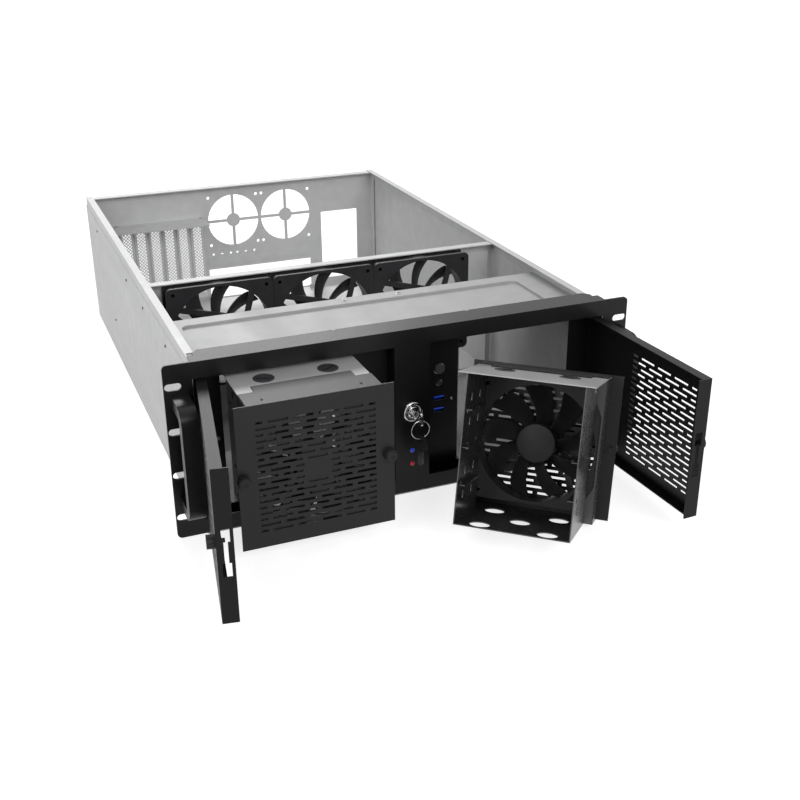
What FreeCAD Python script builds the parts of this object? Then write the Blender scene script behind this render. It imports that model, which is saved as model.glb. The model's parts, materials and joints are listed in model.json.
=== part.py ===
"""Empty 4U rackmount server case with open front doors and two drive cages.

The front of the rack ears lies on Y = 0 and the case runs back along +Y. X = 0 is the middle of the case and
Z = 0 is its underside. The left drive cage is drawn out of its bay. The right one is out of the case, tipped
forward on the lower edge of its front plate.
"""
import FreeCAD, Part
import math
import os
import re

import Sketcher

from FreeCAD import Placement, Rotation, Vector

ALONG_X = Vector(1, 0, 0)
ALONG_Y = Vector(0, 1, 0)
ALONG_Z = Vector(0, 0, 1)
LEFT = -1
RIGHT = 1

doc = FreeCAD.newDocument("ServerCase")
sheet = doc.addObject("Spreadsheet::Sheet", "Sizes")
nodes = []


# ---------------------------------------------------------------- driving dimensions

sizes = {
    "steel": 1.2,  # sheet thickness of the case
    "gap": 0.4,  # working clearance between moving pieces
    "fit_gap": 0.05,  # radial clearance of a pin in its hole
    "hex_sides": 6,  # sides of a hexagonal piece
    "tiny_sides": 8,  # sides of the smallest round pieces
    "small_sides": 16,  # sides of small round pieces
    "wide_sides": 32,  # sides of wide round openings

    "panel_width": 482.6,  # rack panel across both ears
    "panel_height": 177,  # rack panel height, four rack units
    "panel_bottom": 1.2,  # underside of the case to the bottom of the panel
    "panel_sheet": 2,  # sheet thickness of the rack panel
    "panel_corner": 5,  # corner radius of the rack panel
    "ear": 26.3,  # width of a rack ear beside the case body
    "panel_hood": 28,  # depth of the panel's folded top flange
    "hood_step": 6,  # steps that relieve the rear corners of the top flange
    "notch_x": 70.5,  # notches in that flange from the middle
    "notch_deep": 2.5,  # depth of those notches
    "opening_bottom": 17,  # lower edge of the opening in the panel
    "opening_margin": 0.5,  # side of the panel opening inside the case wall
    "opening_head": 16.7,  # panel above the opening
    "slot_long": 15.5,  # length of a rack slot
    "slot_high": 7,  # height of a rack slot
    "slot_inset": 8.75,  # middle of a rack slot from the end of the panel
    "slot_first": 23.2,  # height of the lowest rack slot
    "rack_unit": 44.45,  # height of one rack unit

    "case_depth": 670,  # front of the ears to the back of the case
    "lid_room": 4.2,  # top of the side walls below the top of the panel
    "joggle_drop": 12,  # how far down the walls step in for the lid
    "rim_width": 8.3,  # width of the folded rim on each wall
    "rim_start": 33,  # front end of the wall rims

    "rear_fan_inset": 41.7,  # first rear fan opening from the left edge of the connector opening
    "fan_mid_z": 119.5,  # height of the rear fan openings
    "rear_fan_pitch": 80,  # distance between the rear fan openings
    "rear_fan_hole": 38,  # radius of a rear fan opening
    "rear_fan_hub": 10,  # radius of the disc in a rear fan opening
    "rear_fan_spoke": 4,  # width of a spoke in a rear fan opening
    "rear_fan_screws": 71.5,  # screw spacing of a rear fan
    "rear_fan_screw": 2.2,  # radius of a rear fan screw hole
    "io_long": 158.75,  # length of the connector opening
    "io_bottom": 2.6,  # lower edge of the connector opening
    "io_high": 44.45,  # height of the connector opening
    "band_bottom": 53.2,  # lower edge of the raised band over the connector opening
    "band_top": 65.5,  # upper edge of the raised band
    "band_deep": 0.8,  # how far the band stands out inside the case
    "tie_inset": 21.3,  # first group of tie holes from the left edge of the connector opening
    "tie_pitch": 36.3,  # distance between the groups of tie holes
    "tie_half": 13.1,  # tie holes from the middle of their group
    "tie_hole": 1.8,  # radius of a tie hole
    "tie_height": 69.8,  # height of the tie holes
    "supply_wide": 58.1,  # width of the power supply opening
    "supply_bottom": 12,  # lower edge of the power supply opening
    "supply_top": 117,  # upper edge of the power supply opening
    "card_pitch": 20.32,  # distance between expansion slots
    "card_share": 0.3027,  # part of the rear panel's spare width left of the expansion slots
    "io_share": 0.101,  # part of it between those slots and the connector opening
    "supply_share": 0.2438,  # part of it between that opening and the power supply opening
    "card_wide": 13.5,  # width of an expansion slot
    "card_bottom": 14,  # lower end of the expansion slots
    "card_top": 117,  # upper end of the expansion slots
    "cover_wide": 18.4,  # width of a slot cover
    "cover_foot": 8,  # overlap of a slot cover past its slot
    "shelf_height": 127,  # underside of the card shelf
    "shelf_reach": 44,  # how far the card shelf stands out from the rear panel
    "shelf_short": 1.72,  # left end of the card shelf inside the middle of the outer slot
    "shelf_over": 10.8,  # right end of the card shelf past the middle of the inner slot
    "shelf_upstand": 7,  # height of the card shelf's screwed edge
    "shelf_screw_inset": 5,  # card shelf screws from its ends
    "rear_flange": 12,  # depth of the rear panel's folded edges

    "fan_side": 120,  # width and height of a fan
    "fan_thick": 25,  # thickness of a fan
    "fan_corner": 5,  # corner radius of a fan
    "fan_bore": 57,  # radius of a fan's opening
    "fan_hub": 19.5,  # radius of a fan's hub
    "cap_thick": 2,  # thickness of the cap on a fan's hub
    "fan_strut": 7,  # width of a fan's struts
    "strut_inset": 22,  # middle of a strut from the fan's axis
    "strut_turn": 15,  # turn of a fan's struts in degrees
    "motor_plate": 23,  # radius of the plate that carries a fan's motor
    "strut_deep": 3,  # depth of a fan's struts
    "blade_tip": 53.8,  # middle of a blade's tip from the axis
    "blade_chord": 28,  # width of a fan blade at its tip
    "blade_root": 17,  # width of a fan blade at the hub
    "blade_sweep": 5,  # how far a blade's tip is swept forward
    "blade_thick": 1.4,  # thickness of a fan blade
    "blade_pitch": 35,  # lean of a fan blade in degrees
    "blade_count": 9,  # blades on a fan
    "fan_pitch": 120.3,  # distance between the middle fans
    "fan_share": 0.3189,  # part of the spare width beside the fans that lies left of them
    "fan_drop": 3,  # top of the fans below the top of the walls
    "wall_front": 253.2,  # front face of the fan wall
    "wall_hood": 10,  # depth of the fan wall's top flange
    "window_wide": 36,  # width of the cable window
    "window_inset": 9,  # cable window from the right wall
    "window_drop": 13,  # cable window below the top of the walls
    "window_bottom": 11,  # lower edge of the cable window

    "bridge_start": 3,  # front edge of the bridge plate
    "bridge_rise": 2,  # top of the bridge plate above the step in the walls
    "bridge_inset": 2.8,  # bridge plate inside the case walls
    "bridge_end": 150,  # rear edge of the bridge plate
    "bridge_sink": 2.6,  # depth of the bridge plate's recess
    "sink_left_inset": 14.2,  # recess from the left end of the bridge plate
    "sink_right_inset": 31.2,  # recess from the right end of the bridge plate
    "sink_start": 24,  # front edge of the recess
    "sink_end": 133,  # rear edge of the recess
    "sink_corner": 9,  # corner radius of the recess
    "bridge_side": 12,  # height of the bridge plate's side flanges
    "bridge_screw_a": -19.4,  # left screw of the bridge plate
    "bridge_screw_b": 42.9,  # right screw of the bridge plate
    "small_head": 3.4,  # radius of a small screw head
    "small_head_high": 1.6,  # height of a small screw head

    "frame_front": 20,  # front face of the inner front plate
    "bay_inset": 93,  # middle of a drive bay from the side wall
    "bay_gap": 1,  # clearance of a drive bay each side of a cage
    "cage_floor": 17.2,  # underside of a cage in its bay
    "rail_half": 60.5,  # half width of the shelf under a cage
    "rail_end": 130,  # rear end of that shelf
    "frame_bottom": 1.3,  # lower edge of the inner front plate

    "column_half": 18.5,  # half width of the lock column
    "column_sheet": 1.5,  # sheet thickness of the lock column
    "lock_height": 90.9,  # height of the lock
    "blue_height": 47.9,  # height of the blue light
    "red_height": 32.9,  # height of the red light
    "light_radius": 2.5,  # radius of a light
    "light_long": 6,  # length of a light
    "light_proud": 0.6,  # how far a light stands out
    "lock_ring": 10.5,  # radius of the lock's bezel
    "lock_proud": 2.5,  # how far the lock's bezel stands out
    "lock_body": 9,  # radius of the lock's body
    "lock_deep": 16,  # depth of the lock's body
    "barrel_radius": 6,  # radius of the turning barrel
    "barrel_proud": 1,  # how far the barrel stands out of its bezel
    "key_thick": 2,  # thickness of a key's grip
    "key_grip": 7.5,  # radius of the grip of the key in the lock
    "key_hole": 3,  # radius of the hole in a key's grip
    "key_rim": 1.5,  # metal outside the hole in a key's grip
    "key_neck": 6,  # width of a key's blade
    "key_reach": 14,  # middle of the grip from the lock's face
    "key_blade": 16,  # length of the spare key's blade
    "spare_grip": 8.5,  # radius of the spare key's grip
    "spare_turn": 40,  # turn of the spare key on its ring in degrees
    "ring_radius": 9.5,  # middle radius of the key ring
    "ring_wire": 0.7,  # wire radius of the key ring

    "button_x": 38,  # column of the buttons
    "power_height": 123,  # height of the power button
    "power_radius": 5.3,  # radius of the power button
    "reset_height": 107.5,  # height of the reset button
    "reset_radius": 2.8,  # radius of the reset button
    "button_proud": 2.2,  # how far a button stands out
    "button_deep": 8,  # length of a button behind its face
    "port_upper": 91,  # height of the upper USB port
    "port_lower": 78,  # height of the lower USB port
    "port_wide": 12.6,  # width of a USB port
    "port_high": 5.2,  # height of a USB port
    "port_deep": 12,  # depth of a USB port
    "port_sheet": 0.4,  # sheet thickness of a USB port
    "tongue_wide": 10,  # width of a USB tongue
    "tongue_high": 1.8,  # height of a USB tongue

    "handle_wide": 16,  # width of a handle
    "handle_bottom": 34,  # lower end of a handle
    "handle_inset": 14.3,  # middle of a handle from the end of the panel
    "handle_long": 114,  # length of a handle
    "handle_reach": 39,  # how far a handle stands out of the panel
    "handle_thick": 11,  # thickness of a handle
    "handle_bend": 16,  # outer corner radius of a handle
    "handle_soft": 3,  # rounding of a handle's long edges

    "pin_y": 7,  # hinge pins behind the door face
    "pin_inset": 11.5,  # hinge pins from the side walls
    "pin_radius": 1.5,  # radius of a hinge pin
    "pin_long": 4.8,  # length of a hinge pin
    "door_edge": 3.5,  # hinge edge of a door past the pin
    "door_gap": 0.6,  # free edge of a closed door from the lock column
    "door_sill": 1,  # door above the lower edge of the opening
    "door_head_gap": 1.5,  # door below the upper edge of the opening
    "door_flange": 9.8,  # depth of a door's top and bottom flanges
    "door_lip": 14.4,  # depth of the flange on a door's free edge
    "left_open": 99.4,  # how far the left door stands open in degrees
    "right_open": 92.4,  # how far the right door stands open in degrees
    "vent_near": 68,  # door vent field from the pin, near side
    "vent_margin": 17.4,  # door vent field from the free edge
    "vent_bottom": 32,  # lower edge of a door's vent field
    "vent_pitch": 6,  # distance between vent rows
    "vent_rows": 19,  # rows of vents
    "vent_high": 2.4,  # height of a vent
    "vent_gap": 5,  # distance between vents in a row
    "door_columns": 4,  # long vents across a door
    "grip_bottom": 62,  # lower end of the slot in a door's lip
    "grip_top": 107,  # upper end of the slot in a door's lip
    "grip_wide": 7.5,  # width of the slot's ends
    "grip_narrow": 3.5,  # width of the slot's middle
    "grip_end": 13,  # length of the slot's wide ends
    "door_screw_inset": 12,  # door screw from the free edge
    "door_screw_height": 89.5,  # height of the door screw
    "thumb_radius": 6,  # radius of a thumbscrew head
    "thumb_high": 7,  # height of a thumbscrew head
    "thumb_shank": 2,  # radius of a thumbscrew shank
    "thumb_long": 8,  # length of a thumbscrew shank
    "insert_bore": 2.6,  # radius of the hole a thumbscrew turns into
    "insert_radius": 5,  # radius of a thread insert to its corners
    "insert_long": 10,  # length of a thread insert
    "bracket_wide": 13,  # width of a hinge bracket
    "bracket_deep": 16,  # depth of a hinge bracket

    "plate_half": 74,  # half width of a cage's front plate
    "plate_high": 142.2,  # height of a cage's front plate
    "cage_half": 62.5,  # half width of a cage
    "cage_depth": 108,  # depth of a cage behind its front plate
    "cage_sheet": 1,  # sheet thickness of a cage
    "cover_flange": 28,  # depth of the front plate's top flange
    "tab_reach": 41,  # depth of the tab in the middle of that flange
    "tab_half": 47.5,  # half width of that tab
    "field_half": 55.8,  # half width of a cage's vent field
    "field_bottom": 15.8,  # vent field above the bottom of the plate
    "cage_columns": 5,  # long vents across a cage
    "blank_half": 13,  # half width of the plain patch in the middle
    "blank_rows": 3,  # vent rows that the plain patch takes
    "cage_screw_x": 69,  # cage thumbscrews from its middle
    "cage_screw_z": 71,  # cage thumbscrews above the bottom of the plate
    "knob_x": 30.8,  # round fasteners from the middle of a cage
    "knob_y": 57,  # round fasteners behind the front plate
    "knob_radius": 10,  # radius of a round fastener
    "knob_high": 0.9,  # height of a round fastener
    "wash_radius": 9.5,  # radius of the holes in a cage's floor
    "wash_x": 31.5,  # outer floor holes from the middle
    "wash_y": 66,  # middle floor hole behind the front plate
    "wash_step": 31,  # floor hole rows from the middle one
    "hex_y": 45,  # middle of the side cut-outs behind the plate
    "hex_high": 30,  # height of a side cut-out
    "hex_wide": 9,  # width of a side cut-out
    "hex_low": 42,  # middle of the lower side cut-outs
    "hex_step": 56,  # distance between the side cut-outs
    "drawn_out": 92,  # how far the left cage is drawn out of its bay
    "out_x": 97,  # front plate's middle of the right cage, across
    "out_y": -79,  # front plate's middle of the right cage, forward
    "out_turn": 139.5,  # turn of the right cage in degrees
    "out_tip": 17,  # forward tip of the right cage in degrees

    "post_radius": 3,  # radius of a motherboard standoff
    "post_high": 6.5,  # height of a motherboard standoff
    "post_inset": 10,  # rear row of standoffs from the back of the case
    "post_side": 41,  # first column of standoffs from the left wall
    "post_column_b": 124.46,  # second column from the first
    "post_column_c": 281.94,  # third column from the first
    "post_row_b": 154.94,  # second row from the rear one
    "post_row_c": 227.33,  # third row from the rear one
}
for row, (alias, value) in enumerate(sizes.items(), 1):
    sheet.set(f"A{row}", alias)
    sheet.set(f"B{row}", str(value))
    sheet.setAlias(f"B{row}", alias)
doc.recompute()

# Sizes that follow from others, written once and used by name like the rest.
derived = {
    "case_half": "panel_width / 2 - ear",
    "slot_half_pitch": "panel_width / 2 - slot_inset",
    "handle_mid": "panel_width / 2 - handle_inset",
    "handle_top": "handle_bottom + handle_long",
    "opening_half": "case_half - opening_margin",
    "opening_top": "panel_bottom + panel_height - opening_head",
    "wall_top": "panel_bottom + panel_height - lid_room",
    "joggle_height": "wall_top - joggle_drop",
    "bridge_top": "joggle_height + bridge_rise",
    "bridge_half": "case_half - bridge_inset",
    "sink_left": "-(bridge_half - sink_left_inset)",
    "sink_right": "bridge_half - sink_right_inset",
    "fan_spare": "2 * (case_half - 2 * steel) - 2 * fan_pitch - fan_side",
    "fan_first": "-(case_half - 2 * steel - fan_share * fan_spare - fan_side / 2)",
    "fan_top": "wall_top - fan_drop",
    "window_right": "case_half - window_inset",
    "window_left": "window_right - window_wide",
    "window_top": "wall_top - window_drop",
    "bay_middle": "case_half - bay_inset",
    "pin_x": "case_half - pin_inset",
    "door_bottom": "opening_bottom + door_sill",
    "door_top": "opening_top - door_head_gap",
    "door_free": "pin_x - column_half - door_gap",
    "vent_far": "door_free - vent_margin",
    "rear_spare": "2 * case_half - 6 * card_pitch - card_wide - io_long - supply_wide",
    "card_first": "-(case_half - card_share * rear_spare - card_wide / 2)",
    "card_last": "card_first + 6 * card_pitch",
    "io_left": "card_last + card_wide / 2 + io_share * rear_spare",
    "supply_left": "io_left + io_long + supply_share * rear_spare",
    "supply_right": "supply_left + supply_wide",
    "fan_mid_x": "io_left + rear_fan_inset",
    "tie_first": "io_left + tie_inset",
    "shelf_left": "card_first + shelf_short",
    "shelf_right": "card_last + shelf_over",
    "post_x": "-(case_half - post_side)",
    "post_y": "case_depth - post_inset",
}


# ---------------------------------------------------------------- helpers

def cells(formula, owner=sheet.Name + "."):
    """A formula written out in the sheet's own dimensions, with the sheet's name in front of each."""
    def named(match):
        word = match.group(0)
        if word in derived:
            return "(" + cells(derived[word], owner) + ")"
        return owner + word if word in sizes else word
    return re.sub(r"[a-z][a-z_0-9]*", named, str(formula))


def number(formula):
    """The number that a formula on the sheet gives."""
    return float(sheet.evalExpression(cells(formula, "")))


def bind(piece, prop, formula):
    """Tie one property of a piece to a formula on the sheet."""
    piece.setExpression(prop, cells(formula))


def stand(piece, corner):
    """Tie the place of a piece to formulas on the sheet."""
    bind(piece, ".Placement.Base.x", corner[0])
    bind(piece, ".Placement.Base.y", corner[1])
    bind(piece, ".Placement.Base.z", corner[2])


def box(corner, span):
    """Block from its lowest corner and its lengths along X, Y and Z."""
    block = doc.addObject("Part::Box", "Block")
    bind(block, "Length", span[0])
    bind(block, "Width", span[1])
    bind(block, "Height", span[2])
    stand(block, corner)
    return block


def between(low, high):
    """Block from its lowest to its highest corner."""
    span = [f"({top}) - ({bottom})" for bottom, top in zip(low, high)]
    return box(low, span)


def side_block(side, near, far, low, high):
    """Block on one side of the middle plane; near and far are distances from it."""
    if side == RIGHT:
        return between((near, low[0], low[1]), (far, high[0], high[1]))
    return between((f"-({far})", low[0], low[1]), (f"-({near})", high[0], high[1]))


def rod(base, radius, length, axis):
    """Round bar from the middle of its first end, along one axis."""
    bar = doc.addObject("Part::Cylinder", "Rod")
    bar.Placement = Placement(Vector(0, 0, 0), Rotation(ALONG_Z, axis))
    bind(bar, "Radius", radius)
    bind(bar, "Height", length)
    stand(bar, base)
    return bar


def faceted(base, radius, length, axis, sides):
    """Straight bar with flat sides from the middle of its first end, along one axis; radius is to its corners."""
    bar = doc.addObject("Part::Prism", "Bar")
    bar.Placement = Placement(Vector(0, 0, 0), Rotation(ALONG_Z, axis))
    bind(bar, "Polygon", sides)
    bind(bar, "Circumradius", radius)
    bind(bar, "Height", length)
    stand(bar, base)
    return bar


def joined(pieces):
    """Several shapes made one."""
    whole = doc.addObject("Part::MultiFuse", "Joined")
    whole.Shapes = pieces
    whole.Refine = True
    return whole


def group(pieces):
    """Several separate solids kept together."""
    many = doc.addObject("Part::Compound", "Group")
    many.Links = pieces
    return many


def cut(base, tools):
    """A shape less its cutters."""
    rest = doc.addObject("Part::Cut", "Cut")
    rest.Base = base
    rest.Tool = tools[0] if len(tools) == 1 else joined(tools)
    return rest


def rounded(block, radius, axis):
    """Round the edges of a block that run along one axis."""
    doc.recompute()
    soft = doc.addObject("Part::Fillet", "Rounded")
    soft.Base = block
    bend = number(radius)
    marks = []
    for place, edge in enumerate(block.Shape.Edges, 1):
        if edge.Curve.TypeId == "Part::GeomLine" and abs(edge.tangentAt(edge.FirstParameter).dot(axis)) > 0.99:
            marks.append((place, bend, bend))
    soft.Edges = marks
    return soft


def bevelled(block, width, axis):
    """Bevel the edges of a block that run along one axis."""
    doc.recompute()
    sloped = doc.addObject("Part::Chamfer", "Bevelled")
    sloped.Base = block
    bevel = number(width)
    marks = []
    for place, edge in enumerate(block.Shape.Edges, 1):
        if abs(edge.tangentAt(edge.FirstParameter).dot(axis)) > 0.99:
            marks.append((place, bevel, bevel))
    sloped.Edges = marks
    return sloped


def origin_plane(body, role):
    """One of a body's own origin planes."""
    for feature in body.Origin.OriginFeatures:
        if feature.Role == role:
            return feature
    raise ValueError("no plane " + role)


def outline(body, role, corners, offset="0"):
    """Closed sketch on a body's own plane, every corner tied to the sheet."""
    sketch = body.newObject("Sketcher::SketchObject", "Outline")
    sketch.AttachmentSupport = [(origin_plane(body, role), "")]
    sketch.MapMode = "FlatFace"
    bind(sketch, ".AttachmentOffset.Base.z", offset)
    points = [Vector(number(across), number(up), 0) for across, up in corners]
    count = len(points)
    for place in range(count):
        sketch.addGeometry(Part.LineSegment(points[place], points[(place + 1) % count]), False)
    for place in range(count):
        sketch.addConstraint(Sketcher.Constraint("Coincident", place, 2, (place + 1) % count, 1))
    for place, (across, up) in enumerate(corners):
        for kind, formula, distance in (("DistanceX", across, points[place].x), ("DistanceY", up, points[place].y)):
            mark = sketch.addConstraint(Sketcher.Constraint(kind, -1, 1, place, 1, distance))
            bind(sketch, f"Constraints[{mark}]", formula)
    return sketch


def pad(body, sketch, length, backwards=False):
    """Solid from a sketch, pulled out by a length."""
    solid = body.newObject("PartDesign::Pad", "Pad")
    solid.Profile = sketch
    bind(solid, "Length", length)
    solid.Reversed = backwards
    return solid


def prism(name, role, corners, offset, length, backwards=False):
    """Body of one padded outline."""
    body = doc.addObject("PartDesign::Body", name)
    pad(body, outline(body, role, corners, offset), length, backwards)
    return body


def mirrored(source):
    """The same shape on the other side of the middle plane."""
    other = doc.addObject("Part::Mirroring", "Mirrored")
    other.Source = source
    other.Base = Vector(0, 0, 0)
    other.Normal = ALONG_X
    return other


def node(name, piece, place=None):
    """Give a finished sub-part its name and, where it has one, its placement."""
    piece.Label = name
    if place is not None:
        piece.Placement = place
    nodes.append(piece)
    return piece


def thumbscrew(across, height):
    """Thumbscrew whose head stands out towards -Y from its seat on Y = 0, with its shank behind."""
    head = faceted((across, "0", height), "thumb_radius", "thumb_high", ALONG_Y * -1, "small_sides")
    shank = faceted((across, "0", height), "thumb_shank", "thumb_long", ALONG_Y, "tiny_sides")
    return joined([head, shank])


def vents(columns, half, middle, bottom, front, blank_rows, blank_half):
    """Cutter for a field of slots, whose rows shift by half a slot and end in short ones."""
    gap = number("vent_gap")
    pitch = (2 * half + gap) / columns
    high = number("vent_high")
    rows = int(number("vent_rows"))
    middle_row = rows // 2
    slots = []
    for row in range(rows):
        shift = pitch / 2 if row % 2 == 0 else 0
        for column in range(-1, columns + 1):
            start = max(-half, -half + column * pitch + shift)
            end = min(half, -half + column * pitch + shift + pitch - gap)
            in_blank = abs(row - middle_row) <= (blank_rows - 1) / 2
            pieces = [(start, end)]
            if blank_rows and in_blank:
                pieces = [(start, min(end, -blank_half)), (max(start, blank_half), end)]
            for first, last in pieces:
                if last - first > gap / 2:
                    corner = Vector(middle + first, front - gap, bottom + row * number("vent_pitch"))
                    slots.append(Part.makeBox(last - first, 2 * gap, high, corner))
    cutter = doc.addObject("Part::Feature", "Vents")
    cutter.Shape = Part.makeCompound(slots)
    return cutter


# ---------------------------------------------------------------- case body

half_profile = [
    ("case_half", "0"),
    ("case_half", "joggle_height"),
    ("case_half - steel", "joggle_height + steel"),
    ("case_half - steel", "wall_top"),
    ("case_half - steel - rim_width", "wall_top"),
    ("case_half - steel - rim_width", "wall_top - steel"),
    ("case_half - 2 * steel", "wall_top - steel"),
    ("case_half - 2 * steel", "joggle_height"),
    ("case_half - steel", "joggle_height - steel"),
    ("case_half - steel", "steel"),
]
other_half = [(f"-({across})", up) for across, up in reversed(half_profile)]
tray = prism("Tray", "XZ_Plane", half_profile + other_half, "-panel_sheet", "case_depth - panel_sheet", True)
rim_relief = between(
    ("-(case_half - 2 * steel)", "panel_sheet", "wall_top - 2 * steel"),
    ("case_half - 2 * steel", "rim_start", "wall_top + steel"),
)
front_edge = between(("-(case_half - 2 * steel)", "0", "0"), ("case_half - 2 * steel", "panel_sheet", "steel"))
node("chassis_tray", joined([cut(tray, [rim_relief]), front_edge]))

rear_face = "case_depth - steel"
rear_sheet = between(
    ("-(case_half - 2 * steel)", rear_face, "steel"),
    ("case_half - 2 * steel", "case_depth", "wall_top - steel"),
)
rear_top = between(
    ("-(case_half - 2 * steel)", f"{rear_face} - rear_flange", "wall_top - 2 * steel"),
    ("case_half - 2 * steel", "case_depth", "wall_top - steel"),
)
rear_left = side_block(LEFT, "case_half - 3 * steel", "case_half - 2 * steel",
                       (f"{rear_face} - rear_flange", "steel"), ("case_depth", "wall_top - steel"))
rear_right = side_block(RIGHT, "case_half - 3 * steel", "case_half - 2 * steel",
                        (f"{rear_face} - rear_flange", "steel"), ("case_depth", "wall_top - steel"))
rear_cutters = []
behind = "case_depth - 2 * steel"
through = "3 * steel"
for step in (0, 1):
    middle = f"fan_mid_x + {step} * rear_fan_pitch"
    ring = faceted((middle, behind, "fan_mid_z"), "rear_fan_hole", through, ALONG_Y, "wide_sides")
    hub = faceted((middle, behind, "fan_mid_z"), "rear_fan_hub", through, ALONG_Y, "small_sides")
    level = between((f"{middle} - rear_fan_hole", behind, "fan_mid_z - rear_fan_spoke / 2"),
                    (f"{middle} + rear_fan_hole", "case_depth + steel", "fan_mid_z + rear_fan_spoke / 2"))
    upright = between((f"{middle} - rear_fan_spoke / 2", behind, "fan_mid_z - rear_fan_hole"),
                      (f"{middle} + rear_fan_spoke / 2", "case_depth + steel", "fan_mid_z + rear_fan_hole"))
    rear_cutters.append(cut(ring, [hub, level, upright]))
    for across in (-0.5, 0.5):
        for up in (-0.5, 0.5):
            spot = (f"{middle} + {across} * rear_fan_screws", behind, f"fan_mid_z + {up} * rear_fan_screws")
            rear_cutters.append(rod(spot, "rear_fan_screw", through, ALONG_Y))
rear_cutters.append(box(("io_left", behind, "io_bottom"), ("io_long", through, "io_high")))
rear_cutters.append(between(("supply_left", behind, "supply_bottom"),
                            ("supply_right", "case_depth + steel", "supply_top")))
for card in range(7):
    middle = f"card_last - {card} * card_pitch"
    rear_cutters.append(between((f"{middle} - card_wide / 2", behind, "card_bottom"),
                                (f"{middle} + card_wide / 2", "case_depth + steel", "card_top")))
for step in (0, 1):
    middle = f"tie_first + {step} * tie_pitch"
    for side in (LEFT, RIGHT):
        spot = (f"{middle} + {side} * tie_half", behind, "tie_height")
        rear_cutters.append(faceted(spot, "tie_hole", through, ALONG_Y, "tiny_sides"))
    rear_cutters.append(between((f"{middle} - tie_hole", behind, "tie_height - tie_hole / 2"),
                                (f"{middle} + tie_hole", "case_depth + steel", "tie_height + tie_hole / 2")))
band = between(("io_left", f"{rear_face} - band_deep", "band_bottom"),
               ("io_left + io_long", rear_face, "band_top"))
node("rear_panel", cut(joined([rear_sheet, rear_top, rear_left, rear_right, band]), rear_cutters))

for card in range(7):
    middle = f"card_last - {card} * card_pitch"
    cover = between((f"{middle} - cover_wide / 2", "case_depth - 2 * steel", "card_bottom - cover_foot"),
                    (f"{middle} + cover_wide / 2", "case_depth - steel", "card_top + cover_foot"))
    tab = between((f"{middle} - cover_wide / 2", "case_depth - 2 * steel - cover_foot", "card_top + cover_foot - steel"),
                  (f"{middle} + cover_wide / 2", "case_depth - steel", "card_top + cover_foot"))
    node(f"slot_cover_{7 - card}", joined([cover, tab]))

shelf = between(("shelf_left", "case_depth - steel - shelf_reach", "shelf_height"),
                ("shelf_right", "case_depth - steel", "shelf_height + steel"))
upstand = between(("shelf_left", "case_depth - 2 * steel", "shelf_height"),
                  ("shelf_right", "case_depth - steel", "shelf_height + shelf_upstand"))
lip = between(("shelf_left", "case_depth - steel - shelf_reach", "shelf_height - steel"),
              ("shelf_right", "case_depth - shelf_reach", "shelf_height + steel"))
node("slot_shelf", joined([shelf, upstand, lip]))
shelf_screws = []
for across in ("shelf_left + shelf_screw_inset", "shelf_right - shelf_screw_inset"):
    spot = (across, "case_depth - 3 * steel - shelf_screw_inset", "shelf_height + steel")
    shelf_screws.append(faceted(spot, "small_head", "small_head_high", ALONG_Z, "small_sides"))
node("slot_shelf_screws", group(shelf_screws))

# ---------------------------------------------------------------- fan wall and middle fans

wall_sheet = between(("-(case_half - 2 * steel)", "wall_front", "steel"),
                     ("case_half - 2 * steel", "wall_front + steel", "wall_top - steel"))
wall_cap = between(("-(case_half - 2 * steel)", "wall_front - wall_hood", "wall_top - 2 * steel"),
                   ("case_half - 2 * steel", "wall_front + steel", "wall_top - steel"))
wall_cutters = [between(("window_left", "wall_front - steel", "window_bottom"),
                        ("window_right", "wall_front + 2 * steel", "window_top"))]
for step in (0, 1, 2):
    spot = (f"fan_first + {step} * fan_pitch", "wall_front - steel", "fan_top - fan_side / 2")
    wall_cutters.append(faceted(spot, "fan_bore", through, ALONG_Y, "wide_sides"))
node("fan_wall", cut(joined([wall_sheet, wall_cap]), wall_cutters))


def fan_frame(name, place):
    """Fan housing about its own axis along Y, with the slanting struts and motor plate at its front."""
    body = between(("-fan_side / 2", "0", "-fan_side / 2"), ("fan_side / 2", "fan_thick", "fan_side / 2"))
    bore = faceted(("0", "-strut_deep", "0"), "fan_bore", "fan_thick + 2 * strut_deep", ALONG_Y, "wide_sides")
    shell = cut(bevelled(body, "fan_corner", ALONG_Y), [bore])
    plate = faceted(("0", "0", "0"), "motor_plate", "strut_deep", ALONG_Y, "small_sides")
    struts = []
    for quarter in range(4):
        strut = group([between(("-fan_bore", "0", "strut_inset - fan_strut / 2"),
                               ("0", "strut_deep", "strut_inset + fan_strut / 2"))])
        turn = number("strut_turn") + quarter * 90
        strut.Placement = Placement(Vector(0, 0, 0), Rotation(ALONG_Y, turn))
        struts.append(strut)
    return node(name, joined([shell, plate] + struts), place)


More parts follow.
